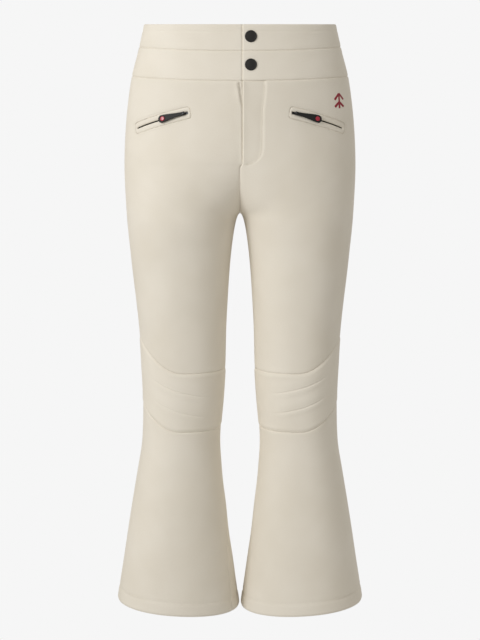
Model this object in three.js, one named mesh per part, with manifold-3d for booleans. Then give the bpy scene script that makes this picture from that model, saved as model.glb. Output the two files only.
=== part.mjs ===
// A child's flared ski pants, age about 8, shaped as they hang when worn.
// Millimetres, +Z up. The origin is the centre of the waist opening, level with the waist's top edge.
// The front faces -Y, and the wearer's left is +X. A "drop" is a distance down from the waist's top edge.
import * as THREE from "three";
import { mergeVertices } from "three/addons/utils/BufferGeometryUtils.js";
import Module from "manifold-3d";

const wasm = await Module();
wasm.setup();

// ---------------------------------------------------------------- driving dimensions

const RISE = 243; // waist's top edge to crotch
const INSEAM = 522; // crotch to hem
const KNEE_BELOW_CROTCH = 227; // crotch to the knee's bending line
const HEM_SLOPE = 3.4; // degrees: the hem is a little higher at the outer side
const MERGE_HEIGHT = 140; // above this height over the crotch, the two legs are one smooth body
const ROUNDNESS = 2.15; // exponent of the cross-sections: 2 is an ellipse

const CLOTH = 1.4; // three-layer stretch softshell
const LINING = 0.8; // thin inner cloth
const SEAM_GAP = 0.4; // between two panels along a seam
const LAYER_GAP = 0.4; // between two layers that lie on each other
const STITCHED_GAP = 0.9; // between a panel and a loose piece stitched to its inside

// Half width from the centre plane to the outer side, and depth to the front and to the back.
const WAIST = { outer: 123, front: 66, back: 72 };
const BAND_SEAM = { outer: 130.5, front: 70, back: 78 };
const WAIST_SEAM = { outer: 140, front: 75.5, back: 86 };
const POCKET_LEVEL = { outer: 147.5, front: 79.5, back: 97 };
const HIP = { outer: 149.8, front: 80, back: 100 };
const CROTCH = { outer: 147.5, front: 75, back: 89 };
const UPPER_THIGH = { outer: 142.5, gap: 12, front: 68, back: 75 };
const THIGH = { outer: 133, gap: 17.8, front: 60, back: 60 };
const ABOVE_KNEE = { outer: 129.2, gap: 19.6, front: 57, back: 54 };
const KNEE = { outer: 128, gap: 22, front: 56, back: 51 };
const BELOW_KNEE = { outer: 129.5, gap: 26.4, front: 54, back: 52 };
const CALF = { outer: 136, gap: 24.2, front: 56.5, back: 57 };
const SHIN = { outer: 143.4, gap: 19.6, front: 61, back: 62 };
const LOWER_SHIN = { outer: 151.8, gap: 13.4, front: 68, back: 69 };
const HEM = { outer: 164.5, gap: 1.9, front: 78, back: 78 };

const UPPER_BAND_DROP = 33; // lower edge of the upper waistband
const LOWER_BAND_DROP = 70; // lower edge of the lower waistband
const BAND_RISE_AT_SIDE = 4; // both lower edges are this much higher at the sides

const FLY_EDGE = 3.2; // the closure's edge, left of the centre plane
const TAB_WIDTH = 27.5; // loose end of the waistband that carries the snaps
const TAB_THICKNESS = 2.8; // two layers and a stiff interlining
const UNDERLAP_THICKNESS = 2;
const UNDERLAP_REACH = 15; // how far it goes on behind the other front
const FLY_DROP = 176; // lower end of the fly

const SNAP = { drops: [15, 50], x: 13.6, capRadius: 7.6, capHeight: 2.2, socketRadius: 5.4 };

// Knee seams: drop below the crotch at the inseam, and their rise from there at the side and the back.
const KNEE_TOP = { below: 204, sideRise: 42, backRise: 42 };
const KNEE_BOTTOM = { below: 282, sideRise: 32, backRise: -10 };
const KNEE_FOAM = 3.6;
const INSEAM_TURN = 28; // degrees that the right leg's inseam has turned to the front at the hem

const POCKET = {
  inner: { x: 66, drop: 111 }, // end where the closed slider rests
  outer: { x: 131, drop: 131 },
  windowHalf: 7.5, // half height of the window in the front panel
  slitHalf: 1.4, // half width of the slit between the two lips
  bagDrop: 92, // how far the bag hangs below the slit
  bagDepth: 10,
};
const TAPE = { half: 11, thickness: 0.6 };
const COIL = { half: 1.4, thickness: 1.3 };
const SLIDER = { length: 9, half: 3.3, gap: 0.9, plate: 0.9 };
const SLIDER_CLEARANCE = 1.4; // between the slider's top plate and the lips, along the whole curved track
const PULLER = { length: 31, tipHalf: 2.1, endHalf: 5, thickness: 1.8, lift: 1.5 };
const DOT = { radius: 2.9, rise: 0.3, depth: 0.8 };

const FLY_ZIP = { chainX: 14, depth: 8.6, top: 78, bottom: 170, pivotHeight: 3.1 };
const GAITER = { top: 622, bottom: 738, cuffHalfWidth: 58, cuffHalfDepth: 60 };
const HEM_TURN_UP = 24;
const EMBLEM = { x: 126, drop: 96, width: 17, height: 20, stroke: 3, thickness: 0.7 };

// ---------------------------------------------------------------- materials

const cream = new THREE.MeshStandardMaterial({ color: "#e6dfd0", roughness: 0.85, metalness: 0 });
const lining = new THREE.MeshStandardMaterial({ color: "#d9d3c6", roughness: 0.9, metalness: 0 });
const foam = new THREE.MeshStandardMaterial({ color: "#cfcabd", roughness: 1, metalness: 0 });
const black = new THREE.MeshStandardMaterial({ color: "#1c1b18", roughness: 0.55, metalness: 0 });
const steel = new THREE.MeshStandardMaterial({ color: "#3b3b3c", roughness: 0.35, metalness: 1 });
const red = new THREE.MeshStandardMaterial({ color: "#b0122d", roughness: 0.7, metalness: 0 });

// ---------------------------------------------------------------- the outer surface

const crotchZ = -RISE;
const kneeZ = crotchZ - KNEE_BELOW_CROTCH;
const hemZ = crotchZ - INSEAM;
const betweenKnees = (share) => crotchZ + share * (kneeZ - crotchZ);
const belowKnee = (share) => kneeZ + share * (hemZ - kneeZ);

// The stations in order from the waist down, each with its height.
const STATIONS = [
  { z: 0, ...WAIST },
  { z: -UPPER_BAND_DROP, ...BAND_SEAM },
  { z: -LOWER_BAND_DROP, ...WAIST_SEAM },
  { z: -0.53 * RISE, ...POCKET_LEVEL },
  { z: -0.77 * RISE, ...HIP },
  { z: crotchZ, gap: 0, ...CROTCH },
  { z: betweenKnees(0.25), ...UPPER_THIGH },
  { z: betweenKnees(0.64), ...THIGH },
  { z: betweenKnees(0.91), ...ABOVE_KNEE },
  { z: belowKnee(0.06), ...KNEE },
  { z: belowKnee(0.25), ...BELOW_KNEE },
  { z: belowKnee(0.39), ...CALF },
  { z: belowKnee(0.54), ...SHIN },
  { z: belowKnee(0.72), ...LOWER_SHIN },
  { z: hemZ, ...HEM },
];

// Smooth curve through (x, y) pairs in rising x: cubic pieces that share their end slopes.
function smoothCurve(xs, ys) {
  const last = xs.length - 1;
  const slope = (i) => {
    const from = Math.max(0, i - 1);
    const to = Math.min(last, i + 1);
    return (ys[to] - ys[from]) / (xs[to] - xs[from]);
  };
  return (x) => {
    let i = 0;
    while (i < last - 1 && x > xs[i + 1]) i++;
    const width = xs[i + 1] - xs[i];
    const t = (x - xs[i]) / width;
    if (t < 0) return ys[0] + slope(0) * (x - xs[0]);
    if (t > 1) return ys[last] + slope(last) * (x - xs[last]);
    const a = (1 + 2 * t) * (1 - t) ** 2 * ys[i] + t * t * (3 - 2 * t) * ys[i + 1];
    return a + width * t * (1 - t) * ((1 - t) * slope(i) - t * slope(i + 1));
  };
}

const curveOf = (key) => smoothCurve(STATIONS.map((s) => -s.z), STATIONS.map((s) => s[key]));
const outerAt = curveOf("outer");
const frontAt = curveOf("front");
const backAt = curveOf("back");
// The gap between the legs opens like a rounded arch, so it is smooth over the root of the distance.
const LEG_STATIONS = STATIONS.filter((s) => s.gap !== undefined);
const gapAtRoot = smoothCurve(
  LEG_STATIONS.map((s) => Math.sqrt(crotchZ - s.z)),
  LEG_STATIONS.map((s) => s.gap),
);

// Cross-section at height z: a rounded oval about (centre, 0). Above the crotch the two ovals cross
// the centre plane, until at MERGE_HEIGHT they are one.
function section(z) {
  const outer = outerAt(-z);
  const front = frontAt(-z);
  const back = backAt(-z);
  if (z <= crotchZ) {
    const gap = gapAtRoot(Math.sqrt(crotchZ - z));
    return { centre: (outer + gap) / 2, half: (outer - gap) / 2, front, back };
  }
  const apart = 1 - Math.sin((Math.PI / 2) * Math.min(1, (z - crotchZ) / MERGE_HEIGHT));
  const half = outer / (1 + apart);
  return { centre: apart * half, half, front, back };
}

// Zero on the surface, negative inside it.
function level(x, y, z) {
  const s = section(z);
  const depth = y < 0 ? s.front : s.back;
  return (Math.abs(x - s.centre) / s.half) ** ROUNDNESS + (Math.abs(y) / depth) ** ROUNDNESS - 1;
}

// Point of the left half. "around" is 0 at the centre front or inseam, 1 at the side, 2 at the centre
// back or inseam. Below 0 and above 2 it goes on into the other half, or round the leg.
function pointAt(around, z) {
  if (around < 0 && z > crotchZ) return pointAt(-around, z).multiply(new THREE.Vector3(-1, 1, 1));
  const s = section(z);
  const toSeam = z <= crotchZ ? Math.PI : Math.acos(-((s.centre / s.half) ** (ROUNDNESS / 2)));
  const angle = toSeam * (around - 1);
  const rounded = (value) => Math.sign(value) * Math.abs(value) ** (2 / ROUNDNESS);
  const depth = Math.sin(angle) < 0 ? s.front : s.back;
  return new THREE.Vector3(
    s.centre + s.half * rounded(Math.cos(angle)),
    depth * rounded(Math.sin(angle)),
    z,
  );
}

// Outward normal of the left half at a point on it.
function outwardAt(p) {
  const e = 0.05;
  const x = Math.abs(p.x);
  const n = new THREE.Vector3(
    level(x + e, p.y, p.z) - level(x - e, p.y, p.z),
    level(x, p.y + e, p.z) - level(x, p.y - e, p.z),
    level(x, p.y, p.z + e) - level(x, p.y, p.z - e),
  ).normalize();
  if (p.x < 0 && p.z > crotchZ) n.x = -n.x;
  return n;
}

// Point of the left half at some depth under the surface. It stays on its own side of the centre plane.
function skin(around, z, depth) {
  const p = pointAt(around, z);
  p.addScaledVector(outwardAt(p), -depth);
  if (around >= 0) p.x = Math.max(p.x, SEAM_GAP / 2);
  return p;
}

// "around" of the front's point at a distance x from the centre plane.
function aroundOfX(x, z) {
  let [low, high] = [-1, 1];
  for (let i = 0; i < 40; i++) {
    const middle = (low + high) / 2;
    if (pointAt(middle, z).x < x) low = middle;
    else high = middle;
  }
  return low;
}

// Front surface at (x, z) and at a depth under it, for either sign of x.
const frontSkin = (x, z, depth) => {
  const p = pointAt(aroundOfX(Math.abs(x), z), z);
  p.addScaledVector(outwardAt(p), -depth);
  if (x < 0) p.x = -p.x;
  return p;
};

const ease = (t) => {
  const s = Math.min(1, Math.max(0, t));
  return s * s * (3 - 2 * s);
};

// ---------------------------------------------------------------- closed solids

// Closed solid over a grid: pointOf(i, j, layer) gives the outer (0) and the inner (1) layer.
function gridSolid(columns, rows, pointOf) {
  const positions = [];
  const indices = [];
  const stride = rows + 1;
  const layerSize = (columns + 1) * stride;
  for (const layer of [0, 1])
    for (let i = 0; i <= columns; i++)
      for (let j = 0; j <= rows; j++) positions.push(...pointOf(i / columns, j / rows, layer).toArray());
  const quad = (a, b, c, d) => indices.push(a, b, c, a, c, d);
  const id = (i, j, layer) => layer * layerSize + i * stride + j;
  for (let i = 0; i < columns; i++)
    for (let j = 0; j < rows; j++) {
      quad(id(i, j, 0), id(i + 1, j, 0), id(i + 1, j + 1, 0), id(i, j + 1, 0));
      quad(id(i, j, 1), id(i, j + 1, 1), id(i + 1, j + 1, 1), id(i + 1, j, 1));
    }
  for (let i = 0; i < columns; i++) {
    quad(id(i, 0, 0), id(i, 0, 1), id(i + 1, 0, 1), id(i + 1, 0, 0));
    quad(id(i, rows, 0), id(i + 1, rows, 0), id(i + 1, rows, 1), id(i, rows, 1));
  }
  for (let j = 0; j < rows; j++) {
    quad(id(0, j, 0), id(0, j + 1, 0), id(0, j + 1, 1), id(0, j, 1));
    quad(id(columns, j, 0), id(columns, j, 1), id(columns, j + 1, 1), id(columns, j + 1, 0));
  }
  return facingOut(positions, indices);
}

// Geometry with its faces turned to point out of the solid.
function facingOut(positions, indices) {
  let volume = 0;
  const v = (k) => new THREE.Vector3().fromArray(positions, 3 * indices[k]);
  for (let k = 0; k < indices.length; k += 3) volume += v(k).dot(v(k + 1).cross(v(k + 2)));
  if (volume < 0)
    for (let k = 0; k < indices.length; k += 3)
      [indices[k + 1], indices[k + 2]] = [indices[k + 2], indices[k + 1]];
  return new THREE.BufferGeometry()
    .setAttribute("position", new THREE.Float32BufferAttribute(positions, 3))
    .setIndex(indices);
}

// Copy that holds positions only, so that its shared vertices can be merged.
function bareCopy(geometry) {
  const copy = geometry.clone();
  for (const key of ["normal", "uv"]) copy.deleteAttribute(key);
  return mergeVertices(copy, 1e-4);
}

function toSolid(geometry) {
  const merged = bareCopy(geometry);
  const mesh = new wasm.Mesh({
    numProp: 3,
    vertProperties: merged.attributes.position.array,
    triVerts: new Uint32Array(merged.index.array),
  });
  return new wasm.Manifold(mesh);
}

function toGeometry(solid) {
  const mesh = solid.getMesh();
  return new THREE.BufferGeometry()
    .setAttribute("position", new THREE.BufferAttribute(new Float32Array(mesh.vertProperties), 3))
    .setIndex(new THREE.BufferAttribute(mesh.triVerts, 1));
}

const cut = (geometry, ...tools) =>
  toGeometry(tools.reduce((left, tool) => left.subtract(toSolid(tool)), toSolid(geometry)));
const common = (a, b) => toGeometry(toSolid(a).intersect(toSolid(b)));
const joined = (...all) => toGeometry(all.map(toSolid).reduce((a, b) => a.add(b)));

// Frame with its z axis along "along", placed at "origin".
function frameAt(origin, along) {
  const turn = new THREE.Quaternion().setFromUnitVectors(new THREE.Vector3(0, 0, 1), along);
  return new THREE.Matrix4().compose(origin, turn, new THREE.Vector3(1, 1, 1));
}

function boxBetween(low, high) {
  const size = high.map((value, k) => value - low[k]);
  const box = new THREE.BoxGeometry(...size);
  return box.translate(...high.map((value, k) => (value + low[k]) / 2));
}

const pants = new THREE.Group();
function add(name, geometry, material, group = pants) {
  const mesh = new THREE.Mesh(geometry, material);
  mesh.name = name;
  group.add(mesh);
  return mesh;
}

// A group whose children are the mirror image of what is put in it, for the wearer's right side.
function sideGroup(side) {
  const group = new THREE.Group();
  if (side === "right") group.scale.x = -1;
  pants.add(group);
  return group;
}

// Lines along which all sheets have their columns, so that layers that lie on each other fit.
const LINES = 9; // from the centre front to the side, and again from there to the centre back
function linesBetween(low, high) {
  const lines = [];
  for (let k = Math.ceil(low * LINES); k <= high * LINES; k++) lines.push(k / LINES);
  return lines;
}

// Sheet of the left half between two "around" limits and two edges, each a function of the other.
// "turn" swings the whole sheet round the leg, most at the inseam and not at all at the side.
function sheet({ from, to, top, bottom, depths, rows, turn = () => 0 }) {
  const ends = [top(0), top(1), bottom(0), bottom(1)];
  const margin = 0.03;
  const low = Math.max(...ends.map(from)) + margin;
  const high = Math.min(...ends.map(to)) - margin;
  const lines = linesBetween(low, high);
  const columns = lines.length + 1;
  const depthAt = typeof depths === "function" ? depths : (layer) => depths[layer];
  return gridSolid(columns, rows, (s, t, layer) => {
    const column = Math.round(s * columns);
    let around = 1;
    let z = 0;
    for (let pass = 0; pass < 4; pass++) {
      z = rowHeight(top(around), bottom(around), t);
      around = lines[column - 1];
      if (column === 0) around = from(z);
      if (column === columns) around = to(z);
    }
    return skin(around + turn(z) * Math.abs(1 - around), z, depthAt(layer, around, z));
  });
}

// Heights of the rows. A sheet that passes the crotch has its rows close together there.
function rowHeight(start, end, t) {
  if (start <= crotchZ || end >= crotchZ) return start + t * (end - start);
  const split = 0.55;
  if (t <= split) return start + (crotchZ - start) * Math.sin((Math.PI / 2) * (t / split));
  return crotchZ + (end - crotchZ) * (1 - Math.cos((Math.PI / 2) * ((t - split) / (1 - split))));
}

// ---------------------------------------------------------------- seams

const halfGap = SEAM_GAP / 2;
const sideRise = (around) => BAND_RISE_AT_SIDE * ease(around < 1 ? around : 2 - around);
const upperSeam = (around) => -UPPER_BAND_DROP + sideRise(around);
const waistSeam = (around) => -LOWER_BAND_DROP + sideRise(around);

// A knee seam runs level over the front, climbs to the side, and goes round the back to the inseam.
// The two seams are further apart behind the knee, where the cloth folds.
const kneeSeam = (seam) => (around) => {
  let rise = seam.sideRise * ease(2 * around - 1);
  if (around > 1) rise += (seam.backRise - seam.sideRise) * ease(2 * (around - 1));
  if (around > 1.5) rise -= seam.backRise * ease(2 * (around - 1.5));
  return crotchZ - seam.below + rise;
};
const kneeTop = kneeSeam(KNEE_TOP);
const kneeBottom = kneeSeam(KNEE_BOTTOM);

const below = (edge) => (around) => edge(around) - halfGap;
const above = (edge) => (around) => edge(around) + halfGap;
// The same share of a millimetre along the section, as "around".
const narrow = (z) => halfGap / ((Math.PI / 2) * section(z).front);
const sideEdge = 1;
const beforeSide = (z) => sideEdge - narrow(z);
const afterSide = (z) => sideEdge + narrow(z);
const beforeBack = (z) => 2 - (z < crotchZ ? narrow(z) : 0);

const flyEdgeAt = (z) => (z > -FLY_DROP ? FLY_EDGE : 0);
const leftOfFly = (z) => (z > crotchZ ? aroundOfX(flyEdgeAt(z) + halfGap, z) : narrow(z));
const rightOfFly = (z) => {
  if (z <= crotchZ) return narrow(z);
  return z > -FLY_DROP ? -aroundOfX(FLY_EDGE - halfGap, z) : 0;
};

const topTrim = boxBetween([-300, -300, 0], [300, 300, 40]);
const hemCentre = (HEM.outer + HEM.gap) / 2;
const hemTrim = boxBetween([-200, -200, -60], [200, 200, 0]);
hemTrim.rotateY(-THREE.MathUtils.degToRad(HEM_SLOPE)).translate(hemCentre, 0, hemZ);
const HEM_SPARE = 12; // cloth below the hem, before it is trimmed

// ---------------------------------------------------------------- waistband

const tabEnd = FLY_EDGE + TAB_WIDTH;
const TAB_SEAM = 1; // width of the stitched seam that the tab turns on
const afterTab = (z) => aroundOfX(tabEnd + TAB_SEAM, z);
const EDGE_OVER = 3; // cloth above the waist's top edge, before it is trimmed

const BANDS = [
  { name: "upper_waistband", top: () => EDGE_OVER, bottom: above(upperSeam), snap: SNAP.drops[0] },
  { name: "lower_waistband", top: below(upperSeam), bottom: above(waistSeam), snap: SNAP.drops[1] },
];

const snapFrame = (drop) => {
  const origin = frontSkin(SNAP.x, -drop, 0);
  return frameAt(origin, outwardAt(origin));
};
const POST_HOLE = 1.9;
const hole = (drop) =>
  new THREE.CylinderGeometry(POST_HOLE, POST_HOLE, 40, 12).rotateX(Math.PI / 2).applyMatrix4(snapFrame(drop));

for (const band of BANDS) {
  const edges = { top: band.top, bottom: band.bottom, depths: [0, CLOTH] };
  const front = { ...edges, to: beforeSide, rows: 1 };
  const trimmed = (shape) => cut(sheet(shape), topTrim);
  add(`${band.name}_front_left`, trimmed({ ...front, from: afterTab }), cream);
  add(`${band.name}_front_right`, trimmed({ ...front, from: rightOfFly }), cream, sideGroup("right"));
  const tab = gridSolid(3, 1, (s, t, layer) => {
    const x = FLY_EDGE + halfGap + s * (TAB_WIDTH - halfGap);
    const around = aroundOfX(x, -band.snap);
    const z = band.top(around) + t * (band.bottom(around) - band.top(around));
    return frontSkin(x, z, layer * TAB_THICKNESS);
  });
  add(`${band.name}_tab`, cut(tab, topTrim, hole(band.snap)), cream);
  add(`${band.name}_back`, cut(backRing(edges), topTrim), cream);
}

// Sheet round the back, from "start" on the left to the same place on the right.
function backRing({ top, bottom, depths }, start = 1, rows = 1) {
  const half = linesBetween(start + 0.03, 1.97);
  const lines = [start, ...half, 2, ...half.map((line) => 4 - line).reverse(), 4 - start];
  const columns = lines.length - 1;
  return gridSolid(columns, rows, (s, t, layer) => {
    const line = lines[Math.round(s * columns)];
    const around = line <= 2 ? line : 4 - line;
    const z = top(around) + t * (bottom(around) - top(around));
    const p = pointAt(around > start ? around : start + narrow(z), z);
    p.addScaledVector(outwardAt(p), -depths[layer]);
    if (line === 2) p.x = 0;
    if (line > 2) p.x = -p.x;
    return p;
  });
}

// Elastic and facing lie inside the bands, in that order.
const elasticDepth = CLOTH + LAYER_GAP;
const ELASTIC = { thickness: 1.1, top: 5, bottom: 29 };
const elasticEdges = { top: () => -ELASTIC.top, bottom: () => -ELASTIC.bottom };
add(
  "waist_elastic",
  backRing({ ...elasticEdges, depths: [elasticDepth, elasticDepth + ELASTIC.thickness] }, 10 / LINES),
  lining,
);
const facingDepth = elasticDepth + ELASTIC.thickness + LAYER_GAP;
const FACING_START = 0.34; // "around" where the facing's ends meet the tab and the underlap
add(
  "waistband_facing",
  backRing(
    { top: () => -2, bottom: (a) => waistSeam(a) + 2, depths: [facingDepth, facingDepth + LINING] },
    FACING_START,
    2,
  ),
  lining,
);

// The underlap lies behind the tab, one snap's height deeper, and carries the two studs.
const SOCKET = { top: 0.5, plate: 0.5, height: 2, cavityRadius: 2.9 };
const socketFrom = TAB_THICKNESS + SOCKET.top;
const socketTo = socketFrom + SOCKET.height;
const STUD = { base: 0.5, baseRadius: 4.6, knobRadius: 2.3, knobHeight: 1.2, stemRadius: 1.4 };
const studBaseFrom = socketTo + 0.3;
const underlapFrom = studBaseFrom + STUD.base + 0.3;
const underlapTo = underlapFrom + UNDERLAP_THICKNESS;
const underlap = gridSolid(5, 2, (s, t, layer) => {
  const x = -UNDERLAP_REACH + s * (tabEnd - 1 + UNDERLAP_REACH);
  const z = -1.5 - t * (LOWER_BAND_DROP - 3);
  return frontSkin(x, z, layer ? underlapTo : underlapFrom);
});
add("waistband_underlap", cut(underlap, ...SNAP.drops.map(hole)), cream);

// ---------------------------------------------------------------- snaps

// Turned piece about the snap's axis: [radius, depth under the surface] pairs, closed on the axis.
function turned(profile, drop) {
  const points = profile.map(([r, depth]) => new THREE.Vector2(r, -depth));
  const geometry = new THREE.LatheGeometry(points, 14).rotateX(Math.PI / 2);
  geometry.applyMatrix4(snapFrame(drop));
  const merged = bareCopy(geometry);
  return facingOut([...merged.attributes.position.array], [...merged.index.array]);
}

["upper", "lower"].forEach((which, index) => {
  const drop = SNAP.drops[index];
  const cap = SNAP.capRadius;
  const postRadius = POST_HOLE - 0.4;
  const postEnd = socketFrom + SOCKET.plate - 0.1;
  const capProfile = [
    [0, postEnd], [postRadius, postEnd], [postRadius, -0.3], [cap - 0.5, -0.3], [cap, -0.8],
    [cap - 0.15, -1.5], [cap - 1.1, -SNAP.capHeight], [cap - 2, -SNAP.capHeight + 0.15],
    [0, -SNAP.capHeight - 0.1],
  ];
  add(`snap_cap_${which}`, turned(capProfile, drop), black);
  const plateTo = socketFrom + SOCKET.plate;
  const socketProfile = [
    [POST_HOLE, socketFrom], [POST_HOLE, plateTo], [SOCKET.cavityRadius, plateTo],
    [SOCKET.cavityRadius, socketTo], [SNAP.socketRadius - 0.8, socketTo],
    [SNAP.socketRadius, socketTo - 0.5], [SNAP.socketRadius, socketFrom], [POST_HOLE, socketFrom],
  ];
  add(`snap_socket_${which}`, turned(socketProfile, drop), steel);
  const stemEnd = underlapTo + 0.9;
  const studProfile = [
    [0, studBaseFrom - STUD.knobHeight], [STUD.knobRadius - 0.4, studBaseFrom - STUD.knobHeight],
    [STUD.knobRadius, studBaseFrom - STUD.knobHeight + 0.5], [STUD.knobRadius - 0.3, studBaseFrom],
    [STUD.baseRadius, studBaseFrom], [STUD.baseRadius, studBaseFrom + STUD.base],
    [STUD.stemRadius, studBaseFrom + STUD.base], [STUD.stemRadius, stemEnd], [0, stemEnd],
  ];
  add(`snap_stud_${which}`, turned(studProfile, drop), steel);
  const backFrom = underlapTo + 0.3;
  const backTo = backFrom + 0.9;
  const backRadius = 5;
  const backProfile = [
    [POST_HOLE, backFrom], [backRadius, backFrom], [backRadius, backTo - 0.3],
    [backRadius - 0.4, backTo], [POST_HOLE, backTo], [POST_HOLE, backFrom],
  ];
  add(`snap_stud_back_${which}`, turned(backProfile, drop), steel);
});

// ---------------------------------------------------------------- pocket zips

// A pocket's zip follows an arc of a circle that lies evenly under the surface.
const zipDepth = CLOTH + SLIDER_CLEARANCE + SLIDER.plate + SLIDER.gap;
const pocketPoint = (share) => {
  const from = aroundOfX(POCKET.inner.x, -POCKET.inner.drop);
  const to = aroundOfX(POCKET.outer.x, -POCKET.outer.drop);
  const drop = POCKET.inner.drop + share * (POCKET.outer.drop - POCKET.inner.drop);
  return skin(from + share * (to - from), -drop, zipDepth);
};

function arcThrough(a, b, c) {
  const [ab, ac] = [b.clone().sub(a), c.clone().sub(a)];
  const normal = ab.clone().cross(ac);
  const centre = normal.clone().cross(ab).multiplyScalar(ac.lengthSq());
  centre.add(ac.clone().cross(normal).multiplyScalar(ab.lengthSq()));
  centre.divideScalar(2 * normal.lengthSq()).add(a);
  const out = a.clone().sub(centre);
  const radius = out.length();
  out.divideScalar(radius);
  const axis = normal.normalize();
  const along = axis.clone().cross(out);
  const toEnd = c.clone().sub(centre);
  const sweep = Math.atan2(toEnd.dot(along), toEnd.dot(out));
  return { centre, radius, out, axis, along, sweep };
}

const arc = arcThrough(pocketPoint(0), pocketPoint(0.5), pocketPoint(1));

// Point of the pocket: run along the zip from its inner end, across it, and out from its centre line.
function pocketAt(run, across, out) {
  const angle = run / arc.radius;
  const radial = arc.out.clone().multiplyScalar(Math.cos(angle));
  radial.addScaledVector(arc.along, Math.sin(angle));
  return arc.centre
    .clone()
    .addScaledVector(radial, arc.radius + out)
    .addScaledVector(arc.axis, across);
}

const zipLength = arc.sweep * arc.radius;
const curvedBlock = (runs, half, outs, columns = 7) =>
  gridSolid(columns, 1, (s, t, layer) => {
    const run = runs[0] + s * (runs[1] - runs[0]);
    return pocketAt(run, (2 * t - 1) * half, outs[layer]);
  });

const WINDOW_SPARE = 4; // window beyond each end of the slit
const windowRuns = (spare) => [-WINDOW_SPARE - spare, zipLength + WINDOW_SPARE + spare];
const THROUGH = [-8, 14];
const pocketWindow = curvedBlock(windowRuns(0), POCKET.windowHalf, THROUGH);
const weltBlock = curvedBlock(windowRuns(-LAYER_GAP), POCKET.windowHalf - LAYER_GAP, THROUGH);
const slit = curvedBlock([-1.5, zipLength + 0.5], POCKET.slitHalf, THROUGH);

const pocketSheet = (depths) =>
  sheet({
    from: (z) => aroundOfX(POCKET.inner.x - 14, z),
    to: (z) => aroundOfX(POCKET.outer.x + 9, z),
    top: () => -POCKET.inner.drop + 22,
    bottom: () => -POCKET.outer.drop - 22,
    depths,
    rows: 4,
  });

// A slider's own frame has x along the zip the way it opens, y across it, and z out of the garment.
const PIN = { radius: 0.7, clearance: 0.25, boss: 1.7 };
const LUG_HALF = 0.7;
const EAR = { inside: LUG_HALF + 0.35, width: 0.8 };
const acrossZip = (radius, half, height) =>
  new THREE.CylinderGeometry(radius, radius, 2 * half, 12).translate(0, 0, height);

// Slider: two plates on a wedge, rims over the tape's edges, and a lug with a hole for the puller's pin.
function sliderBody(pivotHeight) {
  const h = SLIDER.length / 2;
  const { half, gap, plate } = SLIDER;
  const rim = 0.6;
  const slot = TAPE.thickness / 2 + 0.3;
  const parts = [
    boxBetween([-h, -half, gap], [h, half, gap + plate]),
    boxBetween([-h, -half, -gap - plate], [h, half, -gap]),
    boxBetween([-h, -1, -gap - 0.2], [-h + 2, 1, gap + 0.2]),
    boxBetween([-2, -LUG_HALF, gap + plate - 0.2], [2, LUG_HALF, pivotHeight]),
    acrossZip(PIN.boss, LUG_HALF, pivotHeight),
  ];
  const rims = boxBetween([-h, half - rim, slot], [h, half, gap + 0.2]);
  for (const turn of [0, Math.PI]) {
    const rimBox = rims.clone().rotateX(turn);
    parts.push(rimBox, rimBox.clone().rotateZ(Math.PI));
  }
  return cut(joined(...parts), acrossZip(PIN.radius + PIN.clearance, 3, pivotHeight));
}

// The two ears of a puller and the pin between them.
function ears(pivotHeight, thickness) {
  const reach = PIN.boss + 1.6;
  const low = [-1.1, EAR.inside, pivotHeight - thickness / 2];
  const high = [reach, EAR.inside + EAR.width, pivotHeight + thickness / 2];
  const left = boxBetween(low, high);
  const right = left.clone().translate(0, -2 * EAR.inside - EAR.width, 0);
  return [left, right, acrossZip(PIN.radius, EAR.inside + EAR.width / 2, pivotHeight)];
}

// The pocket's slider stands at the inner end of the slit.
const sliderRun = SLIDER.length / 2;
const pivotOut = zipDepth + PULLER.lift + PULLER.thickness / 2;
const sliderFrame = (() => {
  const origin = pocketAt(sliderRun, 0, 0);
  const radial = pocketAt(sliderRun, 0, 1).sub(origin);
  return new THREE.Matrix4().makeBasis(arc.axis.clone().cross(radial), arc.axis, radial).setPosition(origin);
})();

// Puller: a teardrop strap that follows the surface, with two ears and a pin through the slider's lug.
const strapStart = sliderRun + PIN.boss + 0.6;
function pullerBody() {
  const strap = gridSolid(12, 2, (s, t, layer) => {
    const bulb = Math.sqrt(Math.max(0, 1 - Math.max(0, (s - 0.86) / 0.14) ** 2));
    const widening = PULLER.tipHalf + (PULLER.endHalf - PULLER.tipHalf) * ease(s * 1.1);
    const out = pivotOut + (0.5 - layer) * PULLER.thickness;
    return pocketAt(strapStart + s * PULLER.length, (2 * t - 1) * widening * Math.max(bulb, 0.25), out);
  });
  const joint = ears(pivotOut, PULLER.thickness).map((piece) => piece.applyMatrix4(sliderFrame));
  return cut(joined(strap, ...joint), dotBody(DOT.radius + 0.3, DOT.depth, 1));
}

function dotBody(radius, depth, rise) {
  const run = strapStart + PULLER.length - PULLER.endHalf - 0.6;
  const top = pivotOut + PULLER.thickness / 2;
  const origin = pocketAt(run, 0, top);
  const radial = origin.clone().sub(pocketAt(run, 0, top - 1)).normalize();
  const disc = new THREE.CylinderGeometry(radius, radius, depth + rise, 16).rotateX(Math.PI / 2);
  return disc.translate(0, 0, (rise - depth) / 2).applyMatrix4(frameAt(origin, radial));
}

// The bag is one sheet, stitched round its edge to the inside of the front panel, round in between.
function bagBody() {
  const [top, bottom] = [-POCKET.inner.drop + 27, -POCKET.outer.drop - POCKET.bagDrop];
  const from = (z) => aroundOfX(POCKET.inner.x - 20, z);
  const to = (z) => aroundOfX(POCKET.outer.x + 10, z);
  const wide = (z) => (Math.PI / 2) * section(z).half;
  const depths = (layer, around, z) => {
    const sideways = Math.min(around - from(z), to(z) - around) * wide(z);
    const inside = Math.min(sideways, top - z, z - bottom);
    return CLOTH + STITCHED_GAP + POCKET.bagDepth * ease(inside / 14) + layer * LINING;
  };
  return sheet({ from, to, top: () => top, bottom: () => bottom, depths, rows: 8 });
}

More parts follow.
